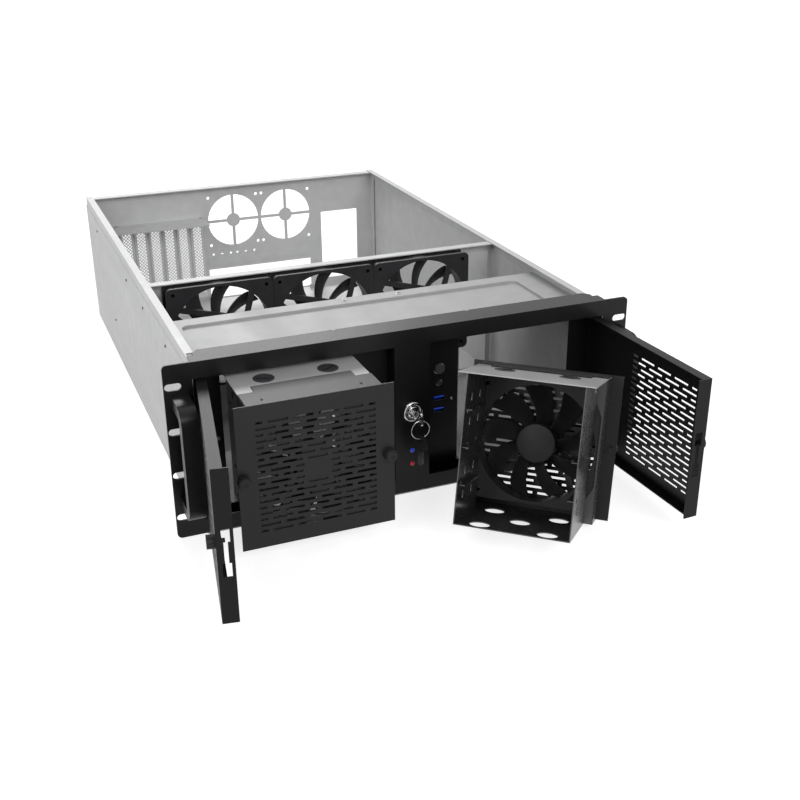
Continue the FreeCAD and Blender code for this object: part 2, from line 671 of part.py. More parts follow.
def fan_rotor(name, place):
    """Fan rotor: a round cap over a many-sided hub, one leaning blade standing on each side of it."""
    start = "strut_deep + gap"
    cap = rod(("0", "fan_thick - cap_thick", "0"), "fan_hub - gap", "cap_thick", ALONG_Y)
    hub = faceted(("0", start, "0"), "fan_hub - gap", f"fan_thick - cap_thick - ({start})", ALONG_Y, "blade_count")
    count = int(number("blade_count"))
    flat = number("fan_hub - gap") * math.cos(math.pi / count)
    middle = number(f"(fan_thick - cap_thick + {start}) / 2")
    blades = []
    for blade_number in range(count):
        blade = doc.addObject("Part::Wedge", "Blade")
        bind(blade, "Xmin", "-blade_root / 2")
        bind(blade, "Xmax", "blade_root / 2")
        bind(blade, "X2min", "blade_sweep - blade_chord / 2")
        bind(blade, "X2max", "blade_sweep + blade_chord / 2")
        bind(blade, "Ymin", "-blade_thick")
        bind(blade, "Ymax", f"blade_tip - {flat}")
        for low_side, high_side in (("Zmin", "Zmax"), ("Z2min", "Z2max")):
            bind(blade, low_side, "-blade_thick / 2")
            bind(blade, high_side, "blade_thick / 2")
        turn = Rotation(ALONG_Y, 90 + (blade_number - 0.5) * 360 / count)
        lean = Rotation(ALONG_Z, number("blade_pitch"))
        upright = Rotation(ALONG_X, 90)
        root = turn.multVec(Vector(0, middle, flat))
        blade.Placement = Placement(root, turn.multiply(lean).multiply(upright))
        blades.append(blade)
    return node(name, joined([cap, hub] + blades), place)


for step, where in enumerate(("left", "middle", "right")):
    spot = Vector(number(f"fan_first + {step} * fan_pitch"),
                  number("wall_front - fan_thick"),
                  number("fan_top - fan_side / 2"))
    fan_frame("fan_frame_" + where, Placement(spot, Rotation()))
    fan_rotor("fan_rotor_" + where, Placement(spot, Rotation()))

# ---------------------------------------------------------------- bridge plate over the bays

bridge_sheet = between(("-bridge_half", "bridge_start", "bridge_top - steel"),
                       ("bridge_half", "bridge_end", "bridge_top"))
sink_outer = rounded(between(("sink_left", "sink_start", "bridge_top - bridge_sink - steel"),
                             ("sink_right", "sink_end", "bridge_top")), "sink_corner", ALONG_Z)
sink_inner = rounded(between(("sink_left + steel", "sink_start + steel", "bridge_top - bridge_sink"),
                             ("sink_right - steel", "sink_end - steel", "bridge_top + steel")),
                     "sink_corner - steel", ALONG_Z)
bridge_left = side_block(LEFT, "bridge_half - steel", "bridge_half",
                         ("sink_start", "bridge_top - bridge_side"), ("bridge_end", "bridge_top"))
bridge_right = side_block(RIGHT, "bridge_half - steel", "bridge_half",
                          ("sink_start", "bridge_top - bridge_side"), ("bridge_end", "bridge_top"))
node("bridge_plate", cut(joined([bridge_sheet, sink_outer, bridge_left, bridge_right]), [sink_inner]))
bridge_screws = []
for across in ("bridge_screw_a", "bridge_screw_b"):
    spot = (across, "(sink_end + bridge_end) / 2", "bridge_top")
    bridge_screws.append(faceted(spot, "small_head", "small_head_high", ALONG_Z, "small_sides"))
node("bridge_screws", group(bridge_screws))

# ---------------------------------------------------------------- front panel and handles

panel = rounded(between(("-panel_width / 2", "0", "panel_bottom"),
                        ("panel_width / 2", "panel_sheet", "panel_bottom + panel_height")),
                "panel_corner", ALONG_Y)
panel_cutters = [between(("-opening_half", "-panel_sheet", "opening_bottom"),
                         ("opening_half", "2 * panel_sheet", "opening_top"))]
for side in (LEFT, RIGHT):
    for unit in range(4):
        middle = f"{side} * slot_half_pitch"
        height = f"slot_first + {unit} * rack_unit"
        straight = "(slot_long - slot_high) / 2"
        panel_cutters.append(between((f"{middle} - {straight}", "-panel_sheet", f"{height} - slot_high / 2"),
                                     (f"{middle} + {straight}", "2 * panel_sheet", f"{height} + slot_high / 2")))
        for end in (-1, 1):
            spot = (f"{middle} + {end} * {straight}", "-panel_sheet", height)
            panel_cutters.append(rod(spot, "slot_high / 2", "3 * panel_sheet", ALONG_Y))
hood_half = [
    ("case_half", "panel_sheet"),
    ("case_half", "panel_hood - 2 * hood_step"),
    ("case_half - hood_step", "panel_hood - 2 * hood_step"),
    ("case_half - hood_step", "panel_hood - hood_step"),
    ("case_half - 2 * hood_step", "panel_hood"),
    ("notch_x + notch_deep", "panel_hood"),
    ("notch_x", "panel_hood - notch_deep"),
    ("notch_x - notch_deep", "panel_hood"),
]
hood_other = [(f"-({across})", deep) for across, deep in reversed(hood_half)]
hood = prism("Hood", "XY_Plane", hood_half + hood_other,
             "panel_bottom + panel_height - panel_sheet", "panel_sheet")
node("front_bezel", joined([cut(panel, panel_cutters), hood]))

grip_outer = rounded(between(("handle_mid - handle_wide / 2", "-handle_reach", "handle_bottom"),
                             ("handle_mid + handle_wide / 2", "handle_reach", "handle_top")),
                     "handle_bend", ALONG_X)
grip_inner = rounded(between(("handle_mid - handle_wide", "-handle_reach + handle_thick",
                              "handle_bottom + handle_thick"),
                             ("handle_mid + handle_wide", "handle_reach + handle_thick",
                              "handle_top - handle_thick")),
                     "handle_bend - handle_thick", ALONG_X)
grip_rear = between(("handle_mid - handle_wide", "0", "handle_bottom - handle_wide"),
                    ("handle_mid + handle_wide", "2 * handle_reach", "handle_top + handle_wide"))
right_grip = cut(grip_outer, [grip_inner, grip_rear])
node("right_handle", right_grip)
node("left_handle", mirrored(right_grip))

# ---------------------------------------------------------------- inner front plate and lock column

frame_sheet = between(("-(case_half - steel - gap / 2)", "frame_front", "frame_bottom"),
                      ("case_half - steel - gap / 2", "frame_front + steel", "joggle_height - steel"))
frame_head = between(("-bridge_half", "frame_front", "joggle_height - 2 * steel"),
                     ("bridge_half", "frame_front + steel", "bridge_top - steel"))
frame_cutters = []
for side in (LEFT, RIGHT):
    frame_cutters.append(side_block(side, "bay_middle - cage_half - bay_gap", "bay_middle + cage_half + bay_gap",
                                    ("frame_front - steel", "cage_floor - 2 * gap"),
                                    ("frame_front + 2 * steel", "cage_floor + plate_high + 2 * gap")))
    for across in (-1, 1):
        spot = (f"{side} * bay_middle + {across} * cage_screw_x", "frame_front - steel", "cage_floor + cage_screw_z")
        frame_cutters.append(faceted(spot, "insert_bore", through, ALONG_Y, "tiny_sides"))
for height, radius in (("power_height", "power_radius"), ("reset_height", "reset_radius")):
    spot = ("button_x", "frame_front - steel", height)
    frame_cutters.append(faceted(spot, f"{radius} + 2 * gap", through, ALONG_Y, "small_sides"))
for height in ("port_upper", "port_lower"):
    frame_cutters.append(between(("button_x - port_wide / 2", "frame_front - steel", f"{height} - port_high / 2"),
                                 ("button_x + port_wide / 2", "frame_front + 2 * steel",
                                  f"{height} + port_high / 2")))
node("bay_frame", cut(joined([frame_sheet, frame_head]), frame_cutters))

column = between(("-column_half", "0", "opening_bottom"), ("column_half", "frame_front", "opening_top"))
hollow = between(("-(column_half - column_sheet)", "column_sheet", "opening_bottom + column_sheet"),
                 ("column_half - column_sheet", "frame_front + column_sheet", "opening_top - column_sheet"))
seats = [hollow]
for height, radius in (("lock_height", "lock_body"), ("blue_height", "light_radius"), ("red_height", "light_radius")):
    seats.append(faceted(("0", "-column_sheet", height), radius, "3 * column_sheet", ALONG_Y, "small_sides"))
node("lock_box", cut(column, seats))
for colour in ("blue", "red"):
    spot = ("0", "-light_proud", f"{colour}_height")
    node(colour + "_led", faceted(spot, "light_radius", "light_long", ALONG_Y, "small_sides"))

lock_bezel = faceted(("0", "-lock_proud", "lock_height"), "lock_ring", "lock_proud", ALONG_Y, "wide_sides")
lock_case = faceted(("0", "0", "lock_height"), "lock_body", "lock_deep", ALONG_Y, "small_sides")
barrel_seat = rod(("0", "-2 * lock_proud", "lock_height"), "barrel_radius + fit_gap",
                  "lock_deep + 3 * lock_proud / 2", ALONG_Y)
node("lock_housing", cut(joined([lock_bezel, lock_case]), [barrel_seat]))
node("lock_barrel", rod(("0", "-lock_proud - barrel_proud", "lock_height"), "barrel_radius",
                        "lock_deep + barrel_proud", ALONG_Y))

lock_face = "-(lock_proud + barrel_proud)"
grip_y = f"{lock_face} - key_reach"
grip_disc = faceted(("-key_thick / 2", grip_y, "lock_height"), "key_grip", "key_thick", ALONG_X, "small_sides")
eye_y = f"{grip_y} - key_grip + key_rim + key_hole"
grip_eye = faceted(("-key_thick", eye_y, "lock_height"), "key_hole", "2 * key_thick", ALONG_X, "small_sides")
neck = between(("-key_thick / 2", grip_y, "lock_height - key_neck / 2"),
               ("key_thick / 2", lock_face, "lock_height + key_neck / 2"))
node("lock_key", cut(joined([grip_disc, neck]), [grip_eye]))

ring_z = "lock_height - key_hole + ring_wire + 2 * gap - ring_radius"
ring_outer = faceted(("0", f"{eye_y} - ring_wire", ring_z), "ring_radius + ring_wire", "2 * ring_wire", ALONG_Y,
                     "wide_sides")
ring_inner = faceted(("0", f"{eye_y} - 2 * ring_wire", ring_z), "ring_radius - ring_wire", "4 * ring_wire", ALONG_Y,
                     "wide_sides")
node("key_ring", cut(ring_outer, [ring_inner]))
spare_disc = faceted(("-key_thick / 2", "0", "-spare_grip / 2"), "spare_grip", "key_thick", ALONG_X, "small_sides")
spare_eye = faceted(("-key_thick", "0", "0"), "key_hole", "2 * key_thick", ALONG_X, "small_sides")
spare_blade = between(("-key_thick / 2", "-key_neck / 2", "-1.5 * spare_grip - key_blade"),
                      ("key_thick / 2", "key_neck / 2", "-spare_grip"))
spare_spot = Vector(0, number(eye_y), number(f"{ring_z} - ring_radius + ring_wire + 2 * gap - key_hole"))
node("spare_key", cut(joined([spare_disc, spare_blade]), [spare_eye]),
     Placement(spare_spot, Rotation(ALONG_Z, number("spare_turn"))))

# ---------------------------------------------------------------- buttons and ports

node("power_button", faceted(("button_x", "frame_front - button_proud", "power_height"), "power_radius",
                             "button_proud + button_deep", ALONG_Y, "small_sides"))
node("reset_button", faceted(("button_x", "frame_front - button_proud / 2", "reset_height"), "reset_radius",
                             "button_proud / 2 + button_deep", ALONG_Y, "small_sides"))
shells = []
tongues = []
for height in ("port_upper", "port_lower"):
    shell = between(("button_x - port_wide / 2", "frame_front - port_sheet", f"{height} - port_high / 2"),
                    ("button_x + port_wide / 2", "frame_front + port_deep", f"{height} + port_high / 2"))
    mouth = between(("button_x - port_wide / 2 + port_sheet", "frame_front - 1",
                     f"{height} - port_high / 2 + port_sheet"),
                    ("button_x + port_wide / 2 - port_sheet", "frame_front + port_deep - port_sheet",
                     f"{height} + port_high / 2 - port_sheet"))
    shells.append(cut(shell, [mouth]))
    tongues.append(between(("button_x - tongue_wide / 2", "frame_front + port_sheet",
                            f"{height} + port_high / 2 - port_sheet - tongue_high"),
                           ("button_x + tongue_wide / 2", "frame_front + port_deep - port_sheet",
                            f"{height} + port_high / 2 - port_sheet")))
node("usb_shells", group(shells))
node("usb_tongues", group(tongues))

inserts = []
for side in (LEFT, RIGHT):
    for across in (-1, 1):
        spot = (f"{side} * bay_middle + {across} * cage_screw_x", "frame_front + steel", "cage_floor + cage_screw_z")
        sleeve = faceted(spot, "insert_radius", "insert_long", ALONG_Y, "hex_sides")
        bore = faceted(spot, "insert_bore", "2 * insert_long", ALONG_Y, "tiny_sides")
        inserts.append(cut(sleeve, [bore]))
node("thread_inserts", group(inserts))

for side, where in ((LEFT, "left"), (RIGHT, "right")):
    top = "cage_floor - gap"
    shelf_block = side_block(side, "bay_middle - rail_half", "bay_middle + rail_half",
                             ("frame_front + steel", "steel"), ("rail_end", top))
    shelf_hollow = side_block(side, "bay_middle - rail_half + steel", "bay_middle + rail_half - steel",
                              ("frame_front", "0"), ("rail_end + steel", f"{top} - steel"))
    node("cage_shelf_" + where, cut(shelf_block, [shelf_hollow]))

# ---------------------------------------------------------------- doors

hinge = "door_edge"
lip_x = "-door_free"
door_skin = between((lip_x, "-pin_y", "door_bottom"), (hinge, "-pin_y + steel", "door_top"))
door_head = between((lip_x, "-pin_y", "door_top - steel"), (hinge, "-pin_y + door_flange", "door_top"))
door_sill = between((lip_x, "-pin_y", "door_bottom"), (hinge, "-pin_y + door_flange", "door_bottom + steel"))
door_side = between((lip_x, "-pin_y", "door_bottom"), (f"{lip_x} + steel", "-pin_y + door_lip", "door_top"))
door_back = between((f"{hinge} - steel", "-pin_y", "door_bottom"),
                    (hinge, "-pin_y + door_flange / 2", "door_top"))
half_field = number("vent_far - vent_near") / 2
door_vents = vents(int(number("door_columns")), half_field, -number("vent_near") - half_field,
                   number("vent_bottom"), -number("pin_y"), 0, 0)
grip_middle = "-pin_y + door_lip / 2 + steel / 2"
grip_low = between((f"{lip_x} - steel", f"{grip_middle} - grip_wide / 2", "grip_bottom"),
                   (f"{lip_x} + 2 * steel", f"{grip_middle} + grip_wide / 2", "grip_bottom + grip_end"))
grip_high = between((f"{lip_x} - steel", f"{grip_middle} - grip_wide / 2", "grip_top - grip_end"),
                    (f"{lip_x} + 2 * steel", f"{grip_middle} + grip_wide / 2", "grip_top"))
grip_slit = between((f"{lip_x} - steel", f"{grip_middle} - grip_narrow / 2", "grip_bottom"),
                    (f"{lip_x} + 2 * steel", f"{grip_middle} + grip_narrow / 2", "grip_top"))
pin_hole = rod(("0", "0", "door_bottom - steel"), "pin_radius + fit_gap", "door_top - door_bottom + 2 * steel",
               ALONG_Z)
screw_x = f"{lip_x} + door_screw_inset"
screw_hole = faceted((screw_x, "-pin_y - steel", "door_screw_height"), "thumb_shank", through, ALONG_Y, "tiny_sides")
door_pan = cut(joined([door_skin, door_head, door_sill, door_side, door_back]),
               [door_vents, grip_low, grip_high, grip_slit, pin_hole, screw_hole])
door_screw = thumbscrew(screw_x, "door_screw_height")
door_screw.Placement = Placement(Vector(0, -number("pin_y"), 0), Rotation())
right_hinge = Placement(Vector(number("pin_x"), number("pin_y"), 0), Rotation(ALONG_Z, number("right_open")))
left_hinge = Placement(Vector(-number("pin_x"), number("pin_y"), 0), Rotation(ALONG_Z, -number("left_open")))
node("right_door", group([door_pan]), right_hinge)
node("right_door_screw", group([door_screw]), right_hinge)
node("left_door", group([mirrored(door_pan)]), left_hinge)
node("left_door_screw", group([mirrored(door_screw)]), left_hinge)

for side, where in ((LEFT, "left"), (RIGHT, "right")):
    centre = f"{side} * pin_x"
    upper = faceted((centre, "pin_y", "door_top - 2 * steel"), "pin_radius", "pin_long", ALONG_Z, "small_sides")
    lower = faceted((centre, "pin_y", "door_bottom + 2 * steel"), "pin_radius", "pin_long", ALONG_Z * -1,
                    "small_sides")
    node(where + "_hinge_pins", group([upper, lower]))
    pads = []
    for base in ("door_top + gap", "door_bottom - gap - steel"):
        pads.append(side_block(side, "pin_x - bracket_wide / 2", "pin_x + bracket_wide / 2",
                               ("panel_sheet", base), ("panel_sheet + bracket_deep", f"{base} + steel")))
    pin_bore = faceted((centre, "pin_y", "0"), "pin_radius + fit_gap", "wall_top", ALONG_Z, "small_sides")
    node(where + "_hinge_brackets", cut(group(pads), [pin_bore]))

# ---------------------------------------------------------------- drive cages

def cage(where, place):
    """Drive cage in its own frame: the front plate on Y = 0, the cage behind it, its underside on Z = 0."""
    back = "steel + cage_depth"
    shell_top = "plate_high - steel"
    tube = between(("-cage_half", "steel", "0"), ("cage_half", back, shell_top))
    inside = between(("-cage_half + cage_sheet", "0", "cage_sheet"),
                     ("cage_half - cage_sheet", f"{back} + steel", f"{shell_top} - cage_sheet"))
    cutters = [inside]
    for across, deep in ((0, 0), (-1, -1), (1, -1), (-1, 1), (1, 1)):
        spot = (f"{across} * wash_x", f"wash_y + {deep} * wash_step", "-cage_sheet")
        cutters.append(faceted(spot, "wash_radius", "3 * cage_sheet", ALONG_Z, "small_sides"))
    for level in (0, 1):
        middle = f"hex_low + {level} * hex_step"
        corners = [
            ("hex_y - hex_wide / 2", f"{middle} - hex_high / 2 + hex_wide / 2"),
            ("hex_y", f"{middle} - hex_high / 2"),
            ("hex_y + hex_wide / 2", f"{middle} - hex_high / 2 + hex_wide / 2"),
            ("hex_y + hex_wide / 2", f"{middle} + hex_high / 2 - hex_wide / 2"),
            ("hex_y", f"{middle} + hex_high / 2"),
            ("hex_y - hex_wide / 2", f"{middle} + hex_high / 2 - hex_wide / 2"),
        ]
        cutters.append(prism("Hexagon", "YZ_Plane", corners, "-(cage_half + steel)", "2 * (cage_half + steel)"))
    node(where + "_cage_shell", cut(tube, cutters), place)

    face = between(("-plate_half", "0", "0"), ("plate_half", "steel", "plate_high"))
    fold = between(("-cage_half", "0", shell_top), ("cage_half", "cover_flange", "plate_high"))
    tab = between(("-tab_half", "0", shell_top), ("tab_half", "tab_reach", "plate_high"))
    field = vents(int(number("cage_columns")), number("field_half"), 0, number("field_bottom"), 0,
                  int(number("blank_rows")), number("blank_half"))
    holes = [field]
    for across in (-1, 1):
        spot = (f"{across} * cage_screw_x", "-steel", "cage_screw_z")
        holes.append(faceted(spot, "thumb_shank", through, ALONG_Y, "tiny_sides"))
    node(where + "_cage_plate", cut(joined([face, fold, tab]), holes), place)

    middle = number(f"({shell_top}) / 2")
    fan_place = place.multiply(Placement(Vector(0, number("steel"), middle), Rotation()))
    fan_frame(where + "_cage_fan_frame", fan_place)
    fan_rotor(where + "_cage_fan_rotor", fan_place)

    thumbs = []
    for across in (-1, 1):
        thumbs.append(thumbscrew(f"{across} * cage_screw_x", "cage_screw_z"))
    node(where + "_cage_thumbscrews", group(thumbs), place)

    knobs = []
    for across in (-1, 1):
        spot = (f"{across} * knob_x", "knob_y", shell_top)
        knobs.append(faceted(spot, "knob_radius", "knob_high", ALONG_Z, "small_sides"))
    node(where + "_cage_knobs", group(knobs), place)


drawn = Placement(Vector(-number("bay_middle"), number("frame_front - drawn_out"), number("cage_floor")), Rotation())
cage("left", drawn)
turned = Rotation(ALONG_Z, number("out_turn")).multiply(Rotation(ALONG_X, number("out_tip")))
cage("right", Placement(Vector(number("out_x"), number("out_y"), 0), turned))

# ---------------------------------------------------------------- standoffs

posts = []
for across in ("post_x", "post_x + post_column_b", "post_x + post_column_c"):
    for deep in ("post_y", "post_y - post_row_b", "post_y - post_row_c"):
        posts.append(faceted((across, deep, "steel"), "post_radius", "post_high", ALONG_Z, "hex_sides"))
node("standoffs", group(posts))

# ---------------------------------------------------------------- check and write

doc.recompute()
for piece in doc.Objects:
    if "Invalid" in piece.State or "Error" in piece.State:
        raise RuntimeError(piece.Name + " did not build: " + piece.Label)
os.makedirs("parts", exist_ok=True)
for piece in nodes:
    if piece.Shape.isNull() or not piece.Shape.isValid() or not piece.Shape.Solids:
        raise RuntimeError(piece.Label + " has no sound shape")
for piece in nodes:
    piece.Shape.exportStep(os.path.join("parts", piece.Label + ".step"))
print(len(nodes), "sub-parts written")
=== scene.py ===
"""Looks of the empty rackmount server case: materials, detailed pieces, lamps and camera."""
import json
import math

import bmesh
import bpy
from mathutils import Matrix, Vector


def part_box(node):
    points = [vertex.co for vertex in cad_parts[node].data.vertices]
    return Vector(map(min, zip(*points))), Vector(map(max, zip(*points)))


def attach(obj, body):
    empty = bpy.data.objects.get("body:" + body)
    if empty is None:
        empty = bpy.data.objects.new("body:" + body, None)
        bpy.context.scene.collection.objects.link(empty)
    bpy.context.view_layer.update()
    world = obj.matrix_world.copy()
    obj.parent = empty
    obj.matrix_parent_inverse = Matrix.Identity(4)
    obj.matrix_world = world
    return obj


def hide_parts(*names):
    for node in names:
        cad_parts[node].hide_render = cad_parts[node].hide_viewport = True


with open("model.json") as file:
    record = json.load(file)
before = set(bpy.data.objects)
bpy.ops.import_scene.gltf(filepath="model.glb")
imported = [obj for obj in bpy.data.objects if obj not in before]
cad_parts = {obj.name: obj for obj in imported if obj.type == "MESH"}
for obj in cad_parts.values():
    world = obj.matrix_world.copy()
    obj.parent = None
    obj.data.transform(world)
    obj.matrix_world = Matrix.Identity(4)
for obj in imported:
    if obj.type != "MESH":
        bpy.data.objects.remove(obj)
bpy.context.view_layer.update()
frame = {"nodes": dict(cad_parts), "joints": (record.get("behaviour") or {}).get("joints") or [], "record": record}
nodes = frame["nodes"]
joints = {joint["name"]: joint for joint in frame["joints"]}
MM = 0.001
SIDES = ("left", "right")


# ---------------------------------------------------------------- materials

class Shader:
    """One Principled material built from procedural nodes."""

    def __init__(self, name, colour, metallic=0.0, roughness=0.5, specular=0.5):
        self.material = bpy.data.materials.new(name)
        self.material.use_nodes = True
        self.tree = self.material.node_tree
        self.shader = self.tree.nodes["Principled BSDF"]
        self.shader.inputs["Metallic"].default_value = metallic
        self.shader.inputs["Roughness"].default_value = roughness
        self.shader.inputs["Specular IOR Level"].default_value = specular
        self.shader.inputs["Base Color"].default_value = (*colour, 1.0)
        self.coords = self.node("ShaderNodeTexCoord").outputs["Object"]

    def node(self, kind, **values):
        """Add one node and set its inputs by name."""
        made = self.tree.nodes.new(kind)
        for key, value in values.items():
            made.inputs[key.replace("_", " ")].default_value = value
        return made

    def link(self, start, end):
        """Join an output to an input."""
        self.tree.links.new(start, end)

    def noise(self, scale, detail=3.0, stretch=(1, 1, 1)):
        """Noise value over the object, stretched along an axis where asked."""
        mapping = self.node("ShaderNodeMapping")
        mapping.inputs["Scale"].default_value = stretch
        texture = self.node("ShaderNodeTexNoise", Scale=scale, Detail=detail)
        self.link(self.coords, mapping.inputs["Vector"])
        self.link(mapping.outputs["Vector"], texture.inputs["Vector"])
        return texture.outputs["Fac"]

    def ramp(self, value, low, high, start=0.3, end=0.7):
        """Turn a value into a colour or number between two stops."""
        ramp = self.node("ShaderNodeValToRGB")
        ramp.color_ramp.elements[0].position = start
        ramp.color_ramp.elements[1].position = end
        ramp.color_ramp.elements[0].color = low if isinstance(low, tuple) else (low, low, low, 1)
        ramp.color_ramp.elements[1].color = high if isinstance(high, tuple) else (high, high, high, 1)
        self.link(value, ramp.inputs["Fac"])
        return ramp.outputs["Color"]

    def colour_from(self, value, low, high, start=0.3, end=0.7):
        """Vary the base colour."""
        self.link(self.ramp(value, (*low, 1), (*high, 1), start, end), self.shader.inputs["Base Color"])

    def roughness_from(self, value, low, high):
        """Vary the roughness."""
        self.link(self.ramp(value, low, high), self.shader.inputs["Roughness"])

    def bump_from(self, value, strength, distance):
        """Raise the surface by a value."""
        bump = self.node("ShaderNodeBump", Strength=strength, Distance=distance)
        self.link(value, bump.inputs["Height"])
        self.link(bump.outputs["Normal"], self.shader.inputs["Normal"])


def galvanised_sheet(name, level, roughness, metallic=0.3, bump=0.05):
    """Zinc-coated steel: soft spangle, faint rolling lines and slightly uneven shine."""
    made = Shader(name, (level, level, level), metallic=metallic, roughness=roughness, specular=0.3)
    spangle = made.noise(60.0, 4.0)
    made.colour_from(spangle, (level * 0.93,) * 3, (level * 1.04, level * 1.045, level * 1.06), 0.25, 0.8)
    made.roughness_from(made.noise(25.0, 2.0, (1, 0.15, 1)), roughness - 0.05, roughness + 0.07)
    made.bump_from(made.noise(900.0, 2.0, (1, 0.08, 1)), bump, 0.0002)
    return made.material


def vented_sheet(name):
    """Zinc-coated steel with a field of fine diagonal holes down its middle."""
    hole_spacing = 0.0034
    hole_reach = 0.36
    made = Shader(name, (0.72, 0.72, 0.72), metallic=0.55, roughness=0.42)
    made.colour_from(made.noise(60.0, 4.0), (0.68, 0.68, 0.68), (0.74, 0.745, 0.75), 0.25, 0.8)
    split = made.node("ShaderNodeSeparateXYZ")
    made.link(made.coords, split.inputs["Vector"])
    flat = made.node("ShaderNodeCombineXYZ")
    made.link(split.outputs["X"], flat.inputs["X"])
    made.link(split.outputs["Z"], flat.inputs["Y"])
    turned = made.node("ShaderNodeMapping")
    turned.inputs["Rotation"].default_value = (0, 0, math.radians(45))
    made.link(flat.outputs["Vector"], turned.inputs["Vector"])
    cells = made.node("ShaderNodeTexVoronoi", Scale=1 / hole_spacing, Randomness=0.0)
    cells.voronoi_dimensions = "2D"
    made.link(turned.outputs["Vector"], cells.inputs["Vector"])
    hole = made.node("ShaderNodeMath")
    hole.operation = "LESS_THAN"
    hole.inputs[1].default_value = hole_reach
    made.link(cells.outputs["Distance"], hole.inputs[0])
    spread = made.node("ShaderNodeTexCoord")
    parts = made.node("ShaderNodeSeparateXYZ")
    made.link(spread.outputs["Generated"], parts.inputs["Vector"])
    mask = hole.outputs["Value"]
    for axis, middle, reach in (("X", 0.5, 0.33), ("Z", 0.49, 0.42)):
        near = made.node("ShaderNodeMath")
        near.operation = "COMPARE"
        near.inputs[1].default_value = middle
        near.inputs[2].default_value = reach
        made.link(parts.outputs[axis], near.inputs[0])
        both = made.node("ShaderNodeMath")
        both.operation = "MULTIPLY"
        made.link(mask, both.inputs[0])
        made.link(near.outputs["Value"], both.inputs[1])
        mask = both.outputs["Value"]
    open_air = made.node("ShaderNodeBsdfTransparent")
    blend = made.node("ShaderNodeMixShader")
    made.link(mask, blend.inputs[0])
    made.link(made.shader.outputs["BSDF"], blend.inputs[1])
    made.link(open_air.outputs["BSDF"], blend.inputs[2])
    made.link(blend.outputs["Shader"], made.tree.nodes["Material Output"].inputs["Surface"])
    return made.material


def black_coat(name, level, roughness, specular):
    """Black powder coat: fine orange-peel grain."""
    made = Shader(name, (level, level, level * 1.03), roughness=roughness, specular=specular)
    grain = made.noise(1400.0, 2.0)
    made.colour_from(made.noise(30.0, 3.0), (level * 0.85,) * 3, (level * 1.15, level * 1.15, level * 1.2))
    made.roughness_from(grain, roughness - 0.06, roughness + 0.08)
    made.bump_from(grain, 0.12, 0.0002)
    return made.material


def moulded_plastic(name, colour, roughness):
    """Moulded plastic: fine matt grain."""
    made = Shader(name, colour, roughness=roughness, specular=0.2)
    grain = made.noise(1100.0, 3.0)
    made.colour_from(made.noise(45.0, 2.0), tuple(c * 0.85 for c in colour), tuple(c * 1.2 for c in colour))
    made.roughness_from(grain, roughness - 0.07, roughness + 0.1)
    made.bump_from(grain, 0.1, 0.0001)
    return made.material


def plated_metal(name, colour, roughness):
    """Plated or polished metal with faint handling marks."""
    made = Shader(name, colour, metallic=1.0, roughness=roughness)
    marks = made.noise(300.0, 4.0)
    made.roughness_from(marks, max(roughness - 0.05, 0.03), roughness + 0.08)
    made.colour_from(made.noise(40.0, 2.0), tuple(c * 0.93 for c in colour), colour)
    return made.material


def indicator(name, colour, glow):
    """Tinted part that glows: the lens of a small light, or a painted glow on a part that is no lamp."""
    made = Shader(name, colour, roughness=0.2)
    made.shader.inputs["Emission Color"].default_value = (*colour, 1.0)
    made.shader.inputs["Emission Strength"].default_value = glow
    made.colour_from(made.noise(500.0, 2.0), tuple(c * 0.8 for c in colour), colour)
    return made.material


GALVANISED = galvanised_sheet("galvanised_sheet", 0.6, 0.5, 0.2)
# The bridge plate is the case's own zinc-coated steel in a darker copy: painted shade that tones down its light.
BRIDGE_SHEET_PAINTED_SHADE = galvanised_sheet("bridge_sheet_painted_shade", 0.42, 0.5, 0.15)
VENTED = vented_sheet("vented_sheet")
CAGE_TOP = galvanised_sheet("cage_top_sheet", 0.42, 0.36)
# The cage's walls, floor and rails: a much darker copy of the cage's sheet steel, painted shade for the inside of
# the bays.
CAGE_SHADED_STEEL = galvanised_sheet("cage_sheet", 0.1, 0.26, 0.8, 0.012)
BLACK = black_coat("black_powder_coat", 0.007, 0.33, 0.22)
# The bay frame and doors: a darker copy of the black coat, painted shade for their place inside the bays; it is
# also a little more matt.
BLACK_MATT_SHADED = black_coat("black_inner_coat_painted_shade", 0.004, 0.38, 0.18)
# The cages' front plates: a lighter and more reflective copy of the black coat, painted sheen for their top
# flanges.
PLATE_BLACK_LIT = black_coat("cage_plate_coat_painted_sheen", 0.01, 0.38, 0.28)
FAN_BLACK = moulded_plastic("fan_plastic", (0.03, 0.03, 0.032), 0.42)
KNOB_BLACK = moulded_plastic("knob_plastic", (0.02, 0.02, 0.022), 0.45)
BUTTON_GREY = moulded_plastic("button_plastic", (0.055, 0.055, 0.058), 0.4)
CHROME = plated_metal("chrome_plate", (0.5, 0.5, 0.51), 0.1)
# The spare key's blade: nickel made nearly black, painted shade for the dark side-on reflection of the blade.
KEY_METAL_SHADED = plated_metal("key_nickel_painted_shade", (0.05, 0.05, 0.048), 0.25)
ZINC = plated_metal("bright_zinc", (0.5, 0.5, 0.49), 0.3)
DARK_ZINC = plated_metal("black_zinc", (0.07, 0.07, 0.07), 0.35)
BLUE_LIGHT = indicator("blue_lens", (0.03, 0.09, 0.75), 0.25)
RED_LIGHT = indicator("red_lens", (0.55, 0.01, 0.04), 0.25)
# The USB tongues are blue plastic, not lights: their glow is painted light.
USB_BLUE_PAINTED_GLOW = indicator("usb_blue_painted_glow", (0.03, 0.09, 0.7), 0.35)


def paint(material, *names):
    """Give CAD nodes a material. Nodes that a piece replaces get theirs with that piece."""
    for name in names:
        node = nodes[name]
        node.data.materials.clear()
        node.data.materials.append(material)


